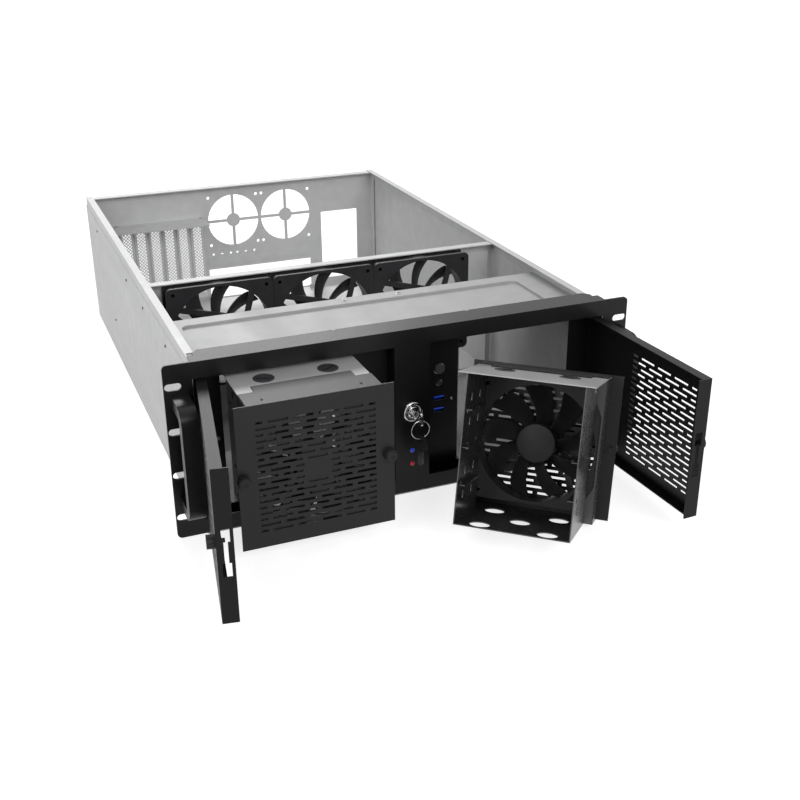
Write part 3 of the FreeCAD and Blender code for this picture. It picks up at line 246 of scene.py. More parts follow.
paint(GALVANISED, "chassis_tray", "rear_panel", "slot_shelf", "fan_wall", "cage_shelf_left",
      "cage_shelf_right")
paint(VENTED, *[f"slot_cover_{number}" for number in range(1, 8)])
paint(BRIDGE_SHEET_PAINTED_SHADE, "bridge_plate")
paint(BLACK, "front_bezel", "left_handle", "right_handle", "lock_box", "left_hinge_brackets",
      "right_hinge_brackets")
paint(BLACK_MATT_SHADED, "bay_frame", "left_door", "right_door")
paint(PLATE_BLACK_LIT, "left_cage_plate", "right_cage_plate")
paint(KNOB_BLACK, "left_door_screw", "right_door_screw")
paint(ZINC, "left_hinge_pins", "right_hinge_pins", "standoffs")
paint(DARK_ZINC, "usb_shells", "thread_inserts")
paint(USB_BLUE_PAINTED_GLOW, "usb_tongues")


# ---------------------------------------------------------------- mesh helpers

# Turns of a flat sheet: STANDING lifts its Y to Z and faces it to -Y. FLANK lays its X along Y, its Y along Z
# and its thickness along X.
IDENTITY = Matrix.Identity(4)
STANDING = Matrix(((1, 0, 0, 0), (0, 0, -1, 0), (0, 1, 0, 0), (0, 0, 0, 1)))
FLANK = Matrix(((0, 0, 1, 0), (1, 0, 0, 0), (0, 1, 0, 0), (0, 0, 0, 1)))


def rectangle(left, low, right, high):
    """Corners of a rectangle, in millimetres."""
    return [(left, low), (right, low), (right, high), (left, high)]


def circle(across, up, radius, count):
    """Points round a circle."""
    turns = [2 * math.pi * step / count for step in range(count)]
    return [(across + radius * math.cos(turn), up + radius * math.sin(turn)) for turn in turns]


def soft_rectangle(left, low, right, high, radius, count=6):
    """Rectangle with rounded corners."""
    points = []
    corners = ((right - radius, high - radius, 0), (left + radius, high - radius, 1),
               (left + radius, low + radius, 2), (right - radius, low + radius, 3))
    for across, up, quarter in corners:
        for step in range(count + 1):
            turn = math.pi / 2 * (quarter + step / count)
            points.append((across + radius * math.cos(turn), up + radius * math.sin(turn)))
    return points


def cross_recess(half, reach):
    """Outline of a cross recess: half the width of its slots, and how far they reach from the middle."""
    points = []
    for quarter in range(4):
        turn = math.pi / 2 * quarter
        for across, up in ((half, reach), (-half, reach), (-half, half)):
            points.append((across * math.cos(turn) - up * math.sin(turn),
                           across * math.sin(turn) + up * math.cos(turn)))
    return points


class Builder:
    """Collects sheets, turned shapes and curved skins into one piece's mesh, with sizes in millimetres."""

    def __init__(self, place=IDENTITY):
        self.mesh = bmesh.new()
        self.place = place

    def add(self, mesh, matrix):
        """Take in a finished mesh."""
        mesh.transform(Matrix.Scale(MM, 4) @ matrix)
        self.mesh.from_mesh(mesh)
        bpy.data.meshes.remove(mesh)

    def sheet(self, loops, thick, matrix=IDENTITY):
        """Flat sheet from its outline and holes, in the XY plane, from 0 to its thickness along Z."""
        curve = bpy.data.curves.new("outline", "CURVE")
        curve.dimensions = "2D"
        curve.fill_mode = "BOTH"
        curve.extrude = thick / 2
        for loop in loops:
            spline = curve.splines.new("POLY")
            spline.points.add(len(loop) - 1)
            for point, (across, up) in zip(spline.points, loop):
                point.co = (across, up, 0, 1)
            spline.use_cyclic_u = True
        holder = bpy.data.objects.new("outline", curve)
        mesh = bpy.data.meshes.new_from_object(holder)
        bpy.data.objects.remove(holder)
        bpy.data.curves.remove(curve)
        self.add(mesh, matrix @ Matrix.Translation((0, 0, thick / 2)))

    def upright(self, loops, thick, depth=0.0, matrix=IDENTITY):
        """Sheet standing in the XZ plane, its back at a depth along Y and its thickness towards -Y."""
        self.sheet(loops, thick, matrix @ Matrix.Translation((0, depth, 0)) @ STANDING)

    def turned(self, profile, count=32, matrix=IDENTITY, closed=True):
        """Shape turned round Z from (radius, height) points, with flat ends."""
        shape = bmesh.new()
        rings = []
        for radius, height in profile:
            rings.append([shape.verts.new((radius * math.cos(2 * math.pi * step / count),
                                           radius * math.sin(2 * math.pi * step / count), height))
                          for step in range(count)])
        for low, high in zip(rings, rings[1:]):
            for step in range(count):
                after = (step + 1) % count
                shape.faces.new((low[step], low[after], high[after], high[step]))
        if closed:
            shape.faces.new(list(reversed(rings[0])))
            shape.faces.new(rings[-1])
        mesh = bpy.data.meshes.new("turned")
        shape.to_mesh(mesh)
        shape.free()
        self.add(mesh, matrix)

    def skin(self, rows, thick):
        """Curved skin through rows of points, given a thickness by a second layer under it."""
        shape = bmesh.new()
        layers = []
        for shift in (-0.5, 0.5):
            layers.append([[shape.verts.new(Vector(point) + Vector(normal) * shift * thick)
                            for point, normal in row] for row in rows])
        under, over = layers
        steps = list(zip(range(len(rows)), range(1, len(rows))))
        strides = list(zip(range(len(rows[0])), range(1, len(rows[0]))))
        for first, second in steps:
            for near, far in strides:
                shape.faces.new((over[first][near], over[first][far], over[second][far], over[second][near]))
                shape.faces.new((under[first][near], under[second][near], under[second][far],
                                 under[first][far]))
        for first, second in steps:
            shape.faces.new((under[first][0], over[first][0], over[second][0], under[second][0]))
            shape.faces.new((under[first][-1], under[second][-1], over[second][-1], over[first][-1]))
        for near, far in strides:
            shape.faces.new((under[0][near], under[0][far], over[0][far], over[0][near]))
            shape.faces.new((under[-1][near], over[-1][near], over[-1][far], under[-1][far]))
        mesh = bpy.data.meshes.new("skin")
        shape.to_mesh(mesh)
        shape.free()
        self.add(mesh, IDENTITY)

    def finish(self, name, material, body, stands_for=(), sharp=35.0):
        """Make the piece, smooth its gentle edges, and let it ride on its body."""
        self.mesh.transform(self.place)
        bmesh.ops.recalc_face_normals(self.mesh, faces=self.mesh.faces)
        mesh = bpy.data.meshes.new(name)
        self.mesh.to_mesh(mesh)
        self.mesh.free()
        mesh.materials.append(material)
        mesh.shade_smooth()
        mesh.set_sharp_from_angle(angle=math.radians(sharp))
        piece = bpy.data.objects.new(name, mesh)
        bpy.context.scene.collection.objects.link(piece)
        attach(piece, body)
        if stands_for:
            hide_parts(*stands_for)
        return piece


def body_of_node(name):
    """The body that carries a CAD node."""
    for body, carried in frame["record"]["behaviour"]["bodies"].items():
        if name in carried:
            return body
    raise ValueError("no body carries " + name)


# ---------------------------------------------------------------- fans

FAN_SIDE = 120  # width and height
FAN_THICK = 25
FAN_BORE = 57  # radius of the opening
FAN_SCREWS = 52.5  # corner screws from the axis, across and up
FAN_SCREW_HOLE = 2.2  # radius
FAN_POST = 4.4  # radius of a screw post
FAN_FLANGES = ((4.0, 3.5), (24.9, 3.6))  # back face and thickness of the two flanges
MOTOR_PLATE = 23  # radius
ARM_TURN = 15  # turn of the first arm in degrees
ARM_LOW = 18.8  # edges of an arm, off the axis
ARM_HIGH = 25.2
FAN_HUB = 19.1  # radius
HUB_FRONT = 3.4  # hub behind the fan's front face
BLADES = 9
BLADE_TURN = 20  # turn of the first blade in degrees
BLADE_TIP = 55.4  # radius
BLADE_THICK = 1.3
BLADE_DEPTH = 13.6  # middle of a blade behind the fan's front face
BLADE_CHORD = 14.5  # width of a blade at the hub
BLADE_SPREAD = 13  # how much wider it gets towards its tip
BLADE_TAPER = 3.5  # how much of that the rounded tip loses
TAPER_START = 0.86  # where the rounded tip starts, as a share of the blade
BLADE_SWEEP = 17  # degrees
BLADE_PITCH = 50  # degrees at the hub
BLADE_TWIST = 19  # degrees that the pitch loses towards the tip
BLADE_CAMBER = 1.6


def fan_place(joint_name):
    """Placement of a fan's own frame: its axis along Y, its front face on Y = 0, Z upwards."""
    joint = joints[joint_name]
    axis = Vector(joint["axis"])
    across = axis.cross(Vector((0, 0, 1))).normalized()
    up = across.cross(axis)
    turn = Matrix((across, axis, up)).transposed().to_4x4()
    front = Vector(joint["pos_m"]) - axis * FAN_THICK / 2 * MM
    return Matrix.Translation(front) @ turn


def blade_skin(made, root):
    """One swept, twisted and hollow-curved blade, whose root stands at an angle."""
    rows_out = 9
    rows_over = 8
    inner = FAN_HUB - 0.6
    rows = []
    for out in range(rows_out + 1):
        share = out / rows_out
        radius = inner + share * (BLADE_TIP - inner)
        sweep = math.radians(BLADE_SWEEP) * share ** 1.4
        taper = BLADE_TAPER * max(0, share - TAPER_START) / (1 - TAPER_START)
        chord = BLADE_CHORD + BLADE_SPREAD * share ** 0.8 - taper
        pitch = math.radians(BLADE_PITCH - BLADE_TWIST * share)
        row = []
        for over in range(rows_over + 1):
            place = over / rows_over - 0.5
            camber = BLADE_CAMBER * (1 - 4 * place * place)
            slide = place * chord * math.cos(pitch)
            rise = BLADE_DEPTH + place * chord * math.sin(pitch) - camber * math.cos(pitch)
            turn = root - sweep - slide / radius
            point = (radius * math.cos(turn), rise, radius * math.sin(turn))
            normal = Vector((math.sin(turn) * math.sin(pitch), -math.cos(pitch),
                             -math.cos(turn) * math.sin(pitch)))
            row.append((point, normal))
        rows.append(row)
    made.skin(rows, BLADE_THICK)


def fan_rotor(node_name, joint_name):
    """Rotor with a soft-edged hub and its blades."""
    made = Builder(fan_place(joint_name))
    profile = [(FAN_HUB - 1, HUB_FRONT), (FAN_HUB, HUB_FRONT + 1), (FAN_HUB, FAN_THICK - 1.4),
               (FAN_HUB - 0.5, FAN_THICK - 0.4), (FAN_HUB - 1.5, FAN_THICK)]
    made.turned(profile, 64, Matrix.Rotation(-math.pi / 2, 4, "X"))
    for blade in range(BLADES):
        blade_skin(made, math.radians(BLADE_TURN + 360 / BLADES * blade))
    made.finish(node_name + "_look", FAN_BLACK, body_of_node(node_name), (node_name,))


def fan_frame(node_name, joint_name):
    """Housing: two flanges round a tube, corner screw posts, four slanting arms and the motor plate."""
    made = Builder(fan_place(joint_name))
    half = FAN_SIDE / 2
    corners = [(across * FAN_SCREWS, up * FAN_SCREWS) for across in (-1, 1) for up in (-1, 1)]
    holes = [circle(across, up, FAN_SCREW_HOLE, 16) for across, up in corners]
    bore = circle(0, 0, FAN_BORE, 96)
    for back, thick in FAN_FLANGES:
        made.upright([soft_rectangle(-half, -half, half, half, 6), bore] + holes, thick, back)
    made.upright([circle(0, 0, FAN_BORE + 2, 96), bore], FAN_THICK, FAN_THICK)
    for across, up in corners:
        made.upright([circle(across, up, FAN_POST, 20), circle(across, up, FAN_SCREW_HOLE, 20)], 20, 22.5)
    made.upright([circle(0, 0, MOTOR_PLATE, 48)], 2.6, 2.8)
    for quarter in range(4):
        turn = Matrix.Rotation(math.radians(ARM_TURN + 90 * quarter), 4, "Y")
        made.upright([rectangle(-FAN_BORE + 3, ARM_LOW, 0, ARM_HIGH)], 2.4, 2.6, turn)
    made.finish(node_name + "_look", FAN_BLACK, body_of_node(node_name), (node_name,))


FANS = [("fan_frame_left", "fan_rotor_left", "fan_left_spin"),
        ("fan_frame_middle", "fan_rotor_middle", "fan_middle_spin"),
        ("fan_frame_right", "fan_rotor_right", "fan_right_spin"),
        ("left_cage_fan_frame", "left_cage_fan_rotor", "left_cage_fan_spin"),
        ("right_cage_fan_frame", "right_cage_fan_rotor", "right_cage_fan_spin")]
for housing, rotor, spin in FANS:
    fan_frame(housing, spin)
    fan_rotor(rotor, spin)


# ---------------------------------------------------------------- drive cages

PLATE_SHEET = 1.2  # thickness of a cage's front plate
CAGE_AXIS = 70.5  # a cage fan's axis above the cage's underside
CAGE_SHEET = 1
CAGE_FRONT = 1.3  # front edge of the sheets behind the plate's outer face
CAGE_WIDE = 62.4  # half width round the fan
CAGE_TUBE = 54.0  # half width of the tube that holds the drives
CAGE_STEP = 27.2  # depth of the shoulder between them
CAGE_BACK = 109.2  # rear end
CAGE_HIGH = 141.0  # top
LID_SCREWS = ((-47, 99), (47, 99))  # across and deep, as all places on a cage
LID_SCREW_HOLE = 1.6  # radius
FLOOR_HOLE = 9.5  # radius
FLOOR_HOLES = ((0, 66), (-31.5, 35), (31.5, 35), (-31.5, 97), (31.5, 97))
SLIT_COLUMNS = (52, 84)  # depths of the slits in the tube's sides
SLIT_ROWS = 5
SLIT_FIRST = 20  # height of the lowest row
SLIT_PITCH = 23
SLIT_WIDE = 3.2
SLIT_LONG = 8
SIDE_HOLES = ((97, 36), (97, 104))  # deep and high
SIDE_HOLE = 2.2  # radius
SHOULDER_WINDOW = (24, 36, 104, 117)  # heights of the four corners of the shoulder's window
RAILS = 3  # rails inside each side of the tube
RAIL_FIRST = 36  # height of the lowest rail
RAIL_PITCH = 35
RAIL_REACH = 7  # inner edge of a rail from the tube's outer face
THUMB_X = 69  # thumbscrews from the middle of the plate
THUMB_Z = 71
THUMB_RADIUS = 6
THUMB_HIGH = 7
KNURLS = 72
KNURL_DEEP = 0.35
KNOBS = ((-30.8, -20), (30.8, 35))  # round fasteners on the lid: across, and the lean of the bar in degrees
KNOB_DEPTH = 57  # behind the front plate
KNOB_RADIUS = 10


def cage_place(side):
    """Placement of a cage's own frame: the outer face of its front plate on Y = 0, its underside on Z = 0."""
    return fan_place(side + "_cage_fan_spin") @ Matrix.Translation((0, -PLATE_SHEET * MM, -CAGE_AXIS * MM))


def flank_sheet(made, loops, hand, half):
    """Sheet on one side of a cage, its outer face at half a width from the middle."""
    inner = half - CAGE_SHEET if hand > 0 else -half
    made.sheet(loops, CAGE_SHEET, Matrix.Translation((inner, 0, 0)) @ FLANK)


def cage_lid(side):
    """Top sheet of a cage."""
    lid = Builder(cage_place(side))
    screws = [circle(across, deep, LID_SCREW_HOLE, 12) for across, deep in LID_SCREWS]
    lid.sheet([rectangle(-CAGE_WIDE, CAGE_FRONT, CAGE_WIDE, CAGE_BACK)] + screws, CAGE_SHEET,
              Matrix.Translation((0, 0, CAGE_HIGH - CAGE_SHEET)))
    shown = lid.finish(side + "_cage_lid", CAGE_TOP, side + "_cage", (), 20)
    bevel_edges(shown, 0.25)


def tube_slits():
    """Outlines of the slits and holes in a side of the drive tube."""
    slits = []
    for level in range(SLIT_ROWS):
        low = SLIT_FIRST + level * SLIT_PITCH
        for deep in SLIT_COLUMNS:
            slits.append(soft_rectangle(deep, low, deep + SLIT_WIDE, low + SLIT_LONG, 1.5, 3))
    return slits + [circle(deep, high, SIDE_HOLE, 16) for deep, high in SIDE_HOLES]


def cage_side(made, hand):
    """One side of a cage: the wide wall, the shoulder with its window, the tube's wall and the rear bend."""
    top = CAGE_HIGH - CAGE_SHEET
    flank_sheet(made, [rectangle(CAGE_STEP, CAGE_SHEET, CAGE_BACK, top)] + tube_slits(), hand, CAGE_TUBE)
    flank_sheet(made, [rectangle(CAGE_FRONT, CAGE_SHEET, CAGE_STEP, top)], hand, CAGE_WIDE)
    left, right = sorted((hand * (CAGE_TUBE - CAGE_SHEET), hand * CAGE_WIDE))
    near = hand * (CAGE_TUBE - 0.2)
    far = hand * (CAGE_WIDE - 2.6)
    window = list(zip((near, far, far, near), SHOULDER_WINDOW))
    made.upright([rectangle(left, CAGE_SHEET, right, top), window], CAGE_SHEET, CAGE_STEP)
    left, right = sorted((hand * (CAGE_WIDE - 1.5), hand * CAGE_WIDE))
    made.upright([rectangle(left, top - 4, right, top)], CAGE_SHEET, CAGE_BACK)


def cage_shell(side):
    """Cage: a wide section round the fan, a shoulder, and the narrower tube that holds the drives."""
    made = Builder(cage_place(side))
    floor = [(-CAGE_WIDE, CAGE_FRONT), (CAGE_WIDE, CAGE_FRONT), (CAGE_WIDE, CAGE_STEP),
             (CAGE_TUBE, CAGE_STEP), (CAGE_TUBE, CAGE_BACK), (-CAGE_TUBE, CAGE_BACK),
             (-CAGE_TUBE, CAGE_STEP), (-CAGE_WIDE, CAGE_STEP)]
    made.sheet([floor] + [circle(across, deep, FLOOR_HOLE, 40) for across, deep in FLOOR_HOLES], CAGE_SHEET)
    for hand in (-1, 1):
        cage_side(made, hand)
    for level in range(RAILS):
        low = RAIL_FIRST + level * RAIL_PITCH
        for hand in (-1, 1):
            left, right = sorted((hand * (CAGE_TUBE - CAGE_SHEET), hand * (CAGE_TUBE - RAIL_REACH)))
            made.sheet([rectangle(left, CAGE_STEP + 22, right, CAGE_BACK - 4)], 0.8,
                       Matrix.Translation((0, 0, low)))
    shell = made.finish(side + "_cage_shell_look", CAGE_SHADED_STEEL, side + "_cage", (side + "_cage_shell",),
                        20)
    bevel_edges(shell, 0.25)


def bevel_edges(piece, width, segments=2):
    """Soften the edges of a piece."""
    bevel = piece.modifiers.new("soft_edges", "BEVEL")
    bevel.width = width * MM
    bevel.segments = segments
    bevel.limit_method = "ANGLE"
    bevel.angle_limit = math.radians(40)
    bevel.harden_normals = True


def thumbscrew_head(made, matrix):
    """Knurled head with a sloped rim and a cross recess."""
    ridges = []
    for step in range(KNURLS):
        turn = 2 * math.pi * step / KNURLS
        reach = THUMB_RADIUS if step % 2 else THUMB_RADIUS - KNURL_DEEP
        ridges.append((reach * math.cos(turn), reach * math.sin(turn)))
    made.sheet([ridges], THUMB_HIGH - 1.2, matrix)
    made.turned([(THUMB_RADIUS - 0.5, THUMB_HIGH - 1.2), (THUMB_RADIUS - 0.9, THUMB_HIGH - 0.5)], 48, matrix)
    made.sheet([circle(0, 0, THUMB_RADIUS - 1, 48), cross_recess(0.6, 2.4)], 0.8,
               matrix @ Matrix.Translation((0, 0, THUMB_HIGH - 0.8)))


def cage_thumbscrews(side):
    """The two captive thumbscrews of a cage's front plate, with their shanks."""
    made = Builder(cage_place(side))
    for across in (-THUMB_X, THUMB_X):
        outward = Matrix.Translation((across, 0, THUMB_Z)) @ Matrix.Rotation(math.pi / 2, 4, "X")
        thumbscrew_head(made, outward)
        made.turned([(2, 0), (2, -8)], 16, outward)
    made.finish(side + "_cage_thumbscrews_look", KNOB_BLACK, side + "_cage", (side + "_cage_thumbscrews",))


def cage_knobs(side):
    """Round fasteners on a cage's lid: a low dish with a raised bar across it."""
    made = Builder(cage_place(side))
    dish = [(KNOB_RADIUS, 0), (KNOB_RADIUS, 0.35), (KNOB_RADIUS - 0.6, 0.7), (KNOB_RADIUS - 2.4, 0.8),
            (KNOB_RADIUS - 3.2, 0.3), (0.5, 0.25)]
    for across, lean in KNOBS:
        seat = Matrix.Translation((across, KNOB_DEPTH, CAGE_HIGH))
        made.turned(dish, 48, seat)
        made.sheet([soft_rectangle(-7.4, -1.3, 7.4, 1.3, 1.2, 4)], 1.5,
                   seat @ Matrix.Rotation(math.radians(lean), 4, "Z"))
    made.finish(side + "_cage_knobs_look", KNOB_BLACK, side + "_cage", (side + "_cage_knobs",))


for side in SIDES:
    cage_lid(side)
    cage_shell(side)
    cage_thumbscrews(side)
    cage_knobs(side)


# ---------------------------------------------------------------- lock, keys, lights, buttons and screws

def node_box(name):
    """Lowest and highest corners of a CAD node, in millimetres."""
    return [[value / MM for value in corner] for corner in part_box(name)]


def facing_front(across, deep, height):
    """Placement on a front face: X to the right, Y up, Z out of the face."""
    return Matrix.Translation((across, deep, height)) @ Matrix.Rotation(math.pi / 2, 4, "X")


def screw_head(made, matrix, radius, high):
    """Pan head with a cross recess."""
    rise = [(radius * math.cos(turn), high * 0.55 * math.sin(turn)) for turn in (0, 0.35, 0.7, 1.0)]
    made.turned([(radius, 0), *rise], 28, matrix)
    made.sheet([circle(0, 0, radius * 0.72, 28), cross_recess(radius * 0.22, radius * 0.55)], high * 0.5,
               matrix @ Matrix.Translation((0, 0, high * 0.5)))


def screw_pair(node_name):
    """Two screws standing on the ends of their node's box."""
    low, high = node_box(node_name)
    radius = (high[1] - low[1]) / 2
    middle = (low[1] + high[1]) / 2
    made = Builder()
    for across in (low[0] + radius, high[0] - radius):
        screw_head(made, Matrix.Translation((across, middle, low[2])), radius * 0.92, high[2] - low[2])
    made.finish(node_name + "_look", ZINC, "case", (node_name,))


def push_button(node_name, ring):
    """Button with a dished face and a soft rim."""
    low, high = node_box(node_name)
    radius = (high[0] - low[0]) / 2
    deep = high[1] - low[1]
    made = Builder()
    face = facing_front((low[0] + high[0]) / 2, high[1], (low[2] + high[2]) / 2)
    made.turned([(radius, 0), (radius, deep - 0.7), (radius - 0.3, deep - 0.2), (radius - 0.8, deep),
                 (radius - ring, deep), (radius - ring - 0.3, deep - 0.5), (0.3, deep - 0.3)], 48, face)
    made.finish(node_name + "_look", BUTTON_GREY, body_of_node(node_name), (node_name,))


def indicator_lens(node_name, material):
    """Light with a domed end."""
    low, high = node_box(node_name)
    radius = (high[0] - low[0]) / 2
    deep = high[1] - low[1]
    made = Builder()
    face = facing_front((low[0] + high[0]) / 2, high[1], (low[2] + high[2]) / 2)
    rise = 0.55
    turns = (0, 0.4, 0.8, 1.2, 1.5)
    dome = [(radius * math.cos(turn), deep - rise + rise * math.sin(turn)) for turn in turns]
    made.turned([(radius, 0), *dome], 28, face)
    made.finish(node_name + "_look", material, "case", (node_name,))


def lock():
    """Chrome lock: a stepped bezel with a rolled rim, and the barrel in it."""
    low, high = node_box("lock_housing")
    face = facing_front(0, 0, (low[2] + high[2]) / 2)
    made = Builder()
    made.turned([(10.5, 0), (10.5, 1.1), (10.2, 1.7), (9.6, 2.2), (8.9, 2.5), (8.0, 2.5), (7.3, 2.1),
                 (7.0, 1.5), (6.4, 1.5), (6.4, -16), (9, -16), (9, 0)], 72, face, False)
    made.finish("lock_housing_look", CHROME, "case", ("lock_housing",))
    turning = Builder()
    turning.turned([(6, -13.4), (6, 2.9), (5.7, 3.3), (5.2, 3.5), (0.2, 3.5)], 48, face)
    turning.finish("lock_barrel_look", CHROME, body_of_node("lock_barrel"), ("lock_barrel",))


KEY_HOLE = 3  # radius of the hole in a key's bow
KEY_BOW = 2  # thickness of a key's bow
RING_WIRE = 0.7  # radius of the key ring's wire


def lock_key():
    """The key in the lock: its bow with a hole, and the stem up to the barrel."""
    low, high = node_box("lock_key")
    middle = (low[2] + high[2]) / 2
    bow = soft_rectangle(-25, middle - 7.4, -11.5, middle + 7.4, 5, 6)
    stem = rectangle(-12.5, middle - 3, -3.6, middle + 3)
    made = Builder()
    made.sheet([bow, circle(-20.5, middle, KEY_HOLE, 24)], KEY_BOW,
               Matrix.Translation((-KEY_BOW / 2, 0, 0)) @ FLANK)
    made.sheet([stem], 1.8, Matrix.Translation((-0.9, 0, 0)) @ FLANK)
    shown = made.finish("lock_key_look", CHROME, body_of_node("lock_key"), ("lock_key",))
    bevel_edges(shown, 0.3)


def key_ring():
    """Wire ring through the bow of the key in the lock."""
    low, high = node_box("key_ring")
    hoop = Builder()
    across = (high[0] - low[0]) / 2 - RING_WIRE
    wire = circle(across, 0, RING_WIRE, 10)
    wire.append(wire[0])
    hoop.turned(wire, 72, facing_front(0, (low[1] + high[1]) / 2, (low[2] + high[2]) / 2), False)
    hoop.finish("key_ring_look", CHROME, body_of_node("key_ring"), ("key_ring",), 80)


def spare_key():
    """Spare key that hangs on the ring, turned out of its plane: a moulded grip and a toothed blade."""
    low, high = node_box("spare_key")
    eye = Matrix.Translation((0, (low[1] + high[1]) / 2, high[2] - 4.25))
    hang = eye @ Matrix.Rotation(math.radians(40), 4, "Z") @ FLANK
    head = soft_rectangle(-7.6, -12.6, 7.6, 4.2, 5.5, 6)
    grip = Builder()
    grip.sheet([head, circle(0, 0, KEY_HOLE, 24)], KEY_BOW, hang @ Matrix.Translation((0, 0, -KEY_BOW / 2)))
    moulded = grip.finish("spare_key_grip", KNOB_BLACK, "keys", ())
    bevel_edges(moulded, 0.45)
    blade = [(-3, -12), (3, -12), (3, -14), (2.2, -15), (3, -16.2), (1.9, -17.6), (3, -19), (1.7, -20.4),
             (2.8, -22), (2, -23.4), (3, -25), (1.6, -27), (0, -28.6), (-3, -26.4)]
    shaft = Builder()
    shaft.sheet([blade], 1.6, hang @ Matrix.Translation((0, 0, -0.8)))
    shaft.finish("spare_key_blade", KEY_METAL_SHADED, "keys", ("spare_key",))


SMALL_SCREW = 1.8  # radius of the head
SMALL_SCREW_HIGH = 0.9
WALL_SCREWS = ((576, 25), (350, 25), (245, 25), (123, 25), (485, 120), (60, 120))  # deep, down from the top
REAR_SCREW_INSET = 10  # rear panel screws from the outer faces of the walls
REAR_SCREWS = (20, 80, 152)  # their heights


def small_screws(name, axis, spots):
    """Small pan-head screws of the case that all face along one axis."""
    made = Builder()
    turn = Vector(axis).to_track_quat("Z", "Y").to_matrix().to_4x4()
    for spot in spots:
        screw_head(made, Matrix.Translation(spot) @ turn, SMALL_SCREW, SMALL_SCREW_HIGH)
    made.finish(name, DARK_ZINC, "case", ())


def case_screws():
    """Small screws on the outside of both walls and on the inner side of the rear panel."""
    low, high = node_box("chassis_tray")
    for name, wall, outward in (("left_wall_screws", low[0], -1), ("right_wall_screws", high[0], 1)):
        spots = [(wall, deep, high[2] - down) for deep, down in WALL_SCREWS]
        small_screws(name, (outward, 0, 0), spots)
    column = high[0] - REAR_SCREW_INSET
    spots = [(hand * column, high[1], height) for hand in (-1, 1) for height in REAR_SCREWS]
    small_screws("rear_panel_screws", (0, -1, 0), spots)


def cage_screws(side):
    """Small screws where a cage's lid meets its front plate."""
    made = Builder(cage_place(side))
    for hand in (-1, 1):
        screw_head(made, Matrix.Translation((hand * 46, 9.5, CAGE_HIGH + 1.1)), 1.7, 0.7)
        screw_head(made, Matrix.Translation((hand * 54, 21, CAGE_HIGH)), 1.7, 0.7)
    made.finish(side + "_cage_screws", DARK_ZINC, side + "_cage", ())


case_screws()
for side in SIDES:
    cage_screws(side)
screw_pair("bridge_screws")
screw_pair("slot_shelf_screws")
push_button("power_button", 1.2)
push_button("reset_button", 0.9)
indicator_lens("blue_led", BLUE_LIGHT)
indicator_lens("red_led", RED_LIGHT)
lock()
lock_key()
key_ring()
spare_key()

# Rounding of the edges of the CAD nodes that stay, in millimetres.
SOFT_EDGES = {"front_bezel": 0.5, "left_handle": 3.5, "right_handle": 3.5, "left_door": 0.5,
              "right_door": 0.5, "left_cage_plate": 0.4, "right_cage_plate": 0.4, "lock_box": 0.6,
              "bay_frame": 0.4, "chassis_tray": 0.4, "fan_wall": 0.4, "bridge_plate": 1.0,
              "rear_panel": 0.3, "slot_shelf": 0.4, "left_door_screw": 0.5, "right_door_screw": 0.5}
for name, width in SOFT_EDGES.items():
    bevel_edges(nodes[name], width, 3)


# ---------------------------------------------------------------- stage, light and camera

def white_to_viewer(tree):
    """Value that is 1 for camera, glossy and transmission rays, and 0 for the light on the object."""
    path = tree.nodes.new("ShaderNodeLightPath")
    value = path.outputs["Is Camera Ray"]
    for kind in ("Is Glossy Ray", "Is Transmission Ray"):
        either = tree.nodes.new("ShaderNodeMath")
        either.operation = "MAXIMUM"
        tree.links.new(value, either.inputs[0])
        tree.links.new(path.outputs[kind], either.inputs[1])
        value = either.outputs["Value"]
    return value


def backdrop_material(name, albedo, lift):
    """Pale floor that keeps its shadows, and that glows to white away from the object."""
    material = bpy.data.materials.new(name)
    material.use_nodes = True
    tree = material.node_tree
    shader = tree.nodes["Principled BSDF"]
    shader.inputs["Base Color"].default_value = (albedo, albedo, albedo, 1)
    shader.inputs["Roughness"].default_value = 0.9
    shader.inputs["Specular IOR Level"].default_value = 0.0
    coords = tree.nodes.new("ShaderNodeTexCoord")
    distance = tree.nodes.new("ShaderNodeVectorMath")
    distance.operation = "LENGTH"
    level = tree.nodes.new("ShaderNodeMapRange")
    level.interpolation_type = "SMOOTHSTEP"
    level.inputs["From Min"].default_value = 0.7
    level.inputs["From Max"].default_value = 2.0
    level.inputs["To Min"].default_value = lift
    level.inputs["To Max"].default_value = 1.0
    tree.links.new(coords.outputs["Object"], distance.inputs[0])
    tree.links.new(distance.outputs["Value"], level.inputs["Value"])
    strength = tree.nodes.new("ShaderNodeMath")
    strength.operation = "MULTIPLY"
    tree.links.new(white_to_viewer(tree), strength.inputs[0])
    tree.links.new(level.outputs["Result"], strength.inputs[1])
    shader.inputs["Emission Color"].default_value = (1, 1, 1, 1)
    tree.links.new(strength.outputs["Value"], shader.inputs["Emission Strength"])
    return material


def add_floor():
    """Large pale floor just under the case."""
    mesh = bpy.data.meshes.new("floor")
    reach = 12.0
    corners = [(-reach, -reach, 0), (reach, -reach, 0), (reach, reach, 0), (-reach, reach, 0)]
    mesh.from_pydata(corners, [], [(0, 1, 2, 3)])
    floor = bpy.data.objects.new("floor", mesh)
    floor.location.z = -0.2 * MM
    bpy.context.scene.collection.objects.link(floor)
    mesh.materials.append(backdrop_material("floor_white", 0.62, 0.76))


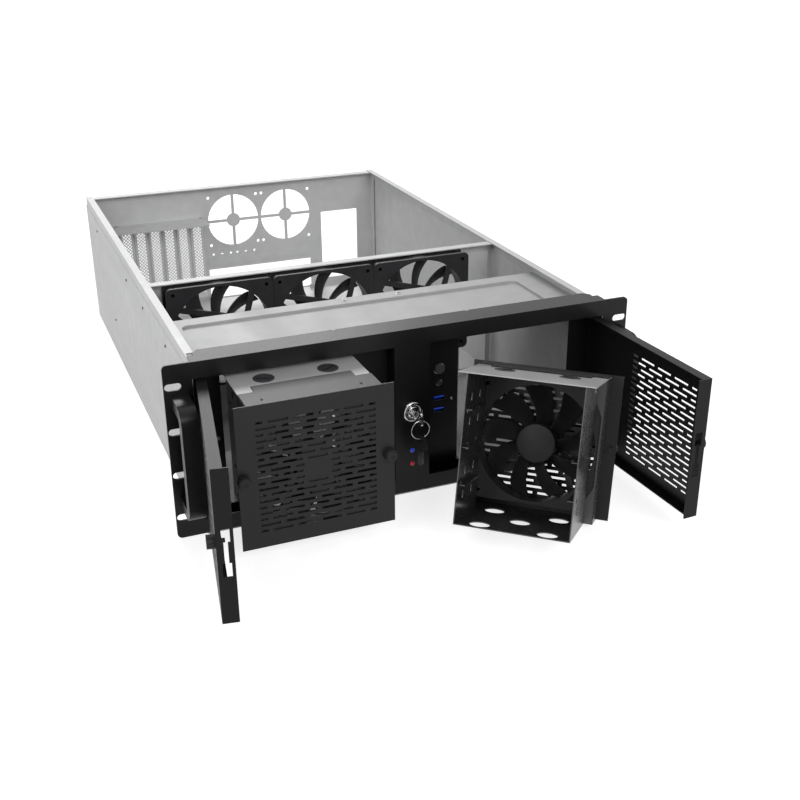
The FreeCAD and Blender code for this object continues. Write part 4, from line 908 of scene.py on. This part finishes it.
def add_world():
    """White surroundings for the camera and for reflections, and a softer level for the light they give."""
    soft_level = 0.14
    world = bpy.data.worlds.new("studio")
    bpy.context.scene.world = world
    world.use_nodes = True
    tree = world.node_tree
    background = tree.nodes["Background"]
    background.inputs["Color"].default_value = (1, 1, 1, 1)
    level = tree.nodes.new("ShaderNodeMapRange")
    level.inputs["To Min"].default_value = soft_level
    level.inputs["To Max"].default_value = 1.0
    tree.links.new(white_to_viewer(tree), level.inputs["Value"])
    tree.links.new(level.outputs["Result"], background.inputs["Strength"])


def add_light(name, place, target, span, power):
    """Soft rectangular lamp aimed at a point."""
    light = bpy.data.lights.new(name, "AREA")
    light.shape = "RECTANGLE"
    light.size, light.size_y = span
    light.energy = power
    lamp = bpy.data.objects.new(name, light)
    lamp.location = place
    lamp.rotation_euler = (Vector(target) - Vector(place)).to_track_quat("-Z", "Y").to_euler()
    lamp.visible_camera = False
    bpy.context.scene.collection.objects.link(lamp)


def add_camera():
    """Camera in front of the case, to its left and above it."""
    place = (-0.389269, -0.926978, 0.557842)
    azimuth = math.radians(-22.085)
    elevation = math.radians(24.321)
    roll = math.radians(-0.337)
    ahead = Vector((-math.sin(azimuth) * math.cos(elevation), math.cos(azimuth) * math.cos(elevation),
                    -math.sin(elevation)))
    across = ahead.cross(Vector((0, 0, 1))).normalized()
    up = across.cross(ahead)
    right = across * math.cos(roll) + up * math.sin(roll)
    top = up * math.cos(roll) - across * math.sin(roll)
    data = bpy.data.cameras.new("camera")
    data.sensor_width = 36.0
    data.lens = 50.353
    data.clip_end = 100.0
    camera = bpy.data.objects.new("camera", data)
    turn = Matrix((right, top, -ahead)).transposed().to_4x4()
    camera.matrix_world = Matrix.Translation(place) @ turn
    bpy.context.scene.collection.objects.link(camera)
    bpy.context.scene.camera = camera


add_floor()
add_world()
add_light("key", (-2.3, -0.8, 1.7), (0, 0.2, 0.1), (2.0, 2.0), 32)
add_light("front", (0.6, -3.0, 2.0), (0.1, 0.4, 0.05), (2.0, 1.6), 58)
add_light("top", (0.0, 0.6, 2.6), (0, 0.4, 0.0), (2.4, 2.4), 9)
add_light("back", (0.2, 3.4, 2.1), (0.0, 0.1, 0.15), (2.2, 1.2), 50)
add_camera()
bpy.context.scene.view_settings.view_transform = "Standard"
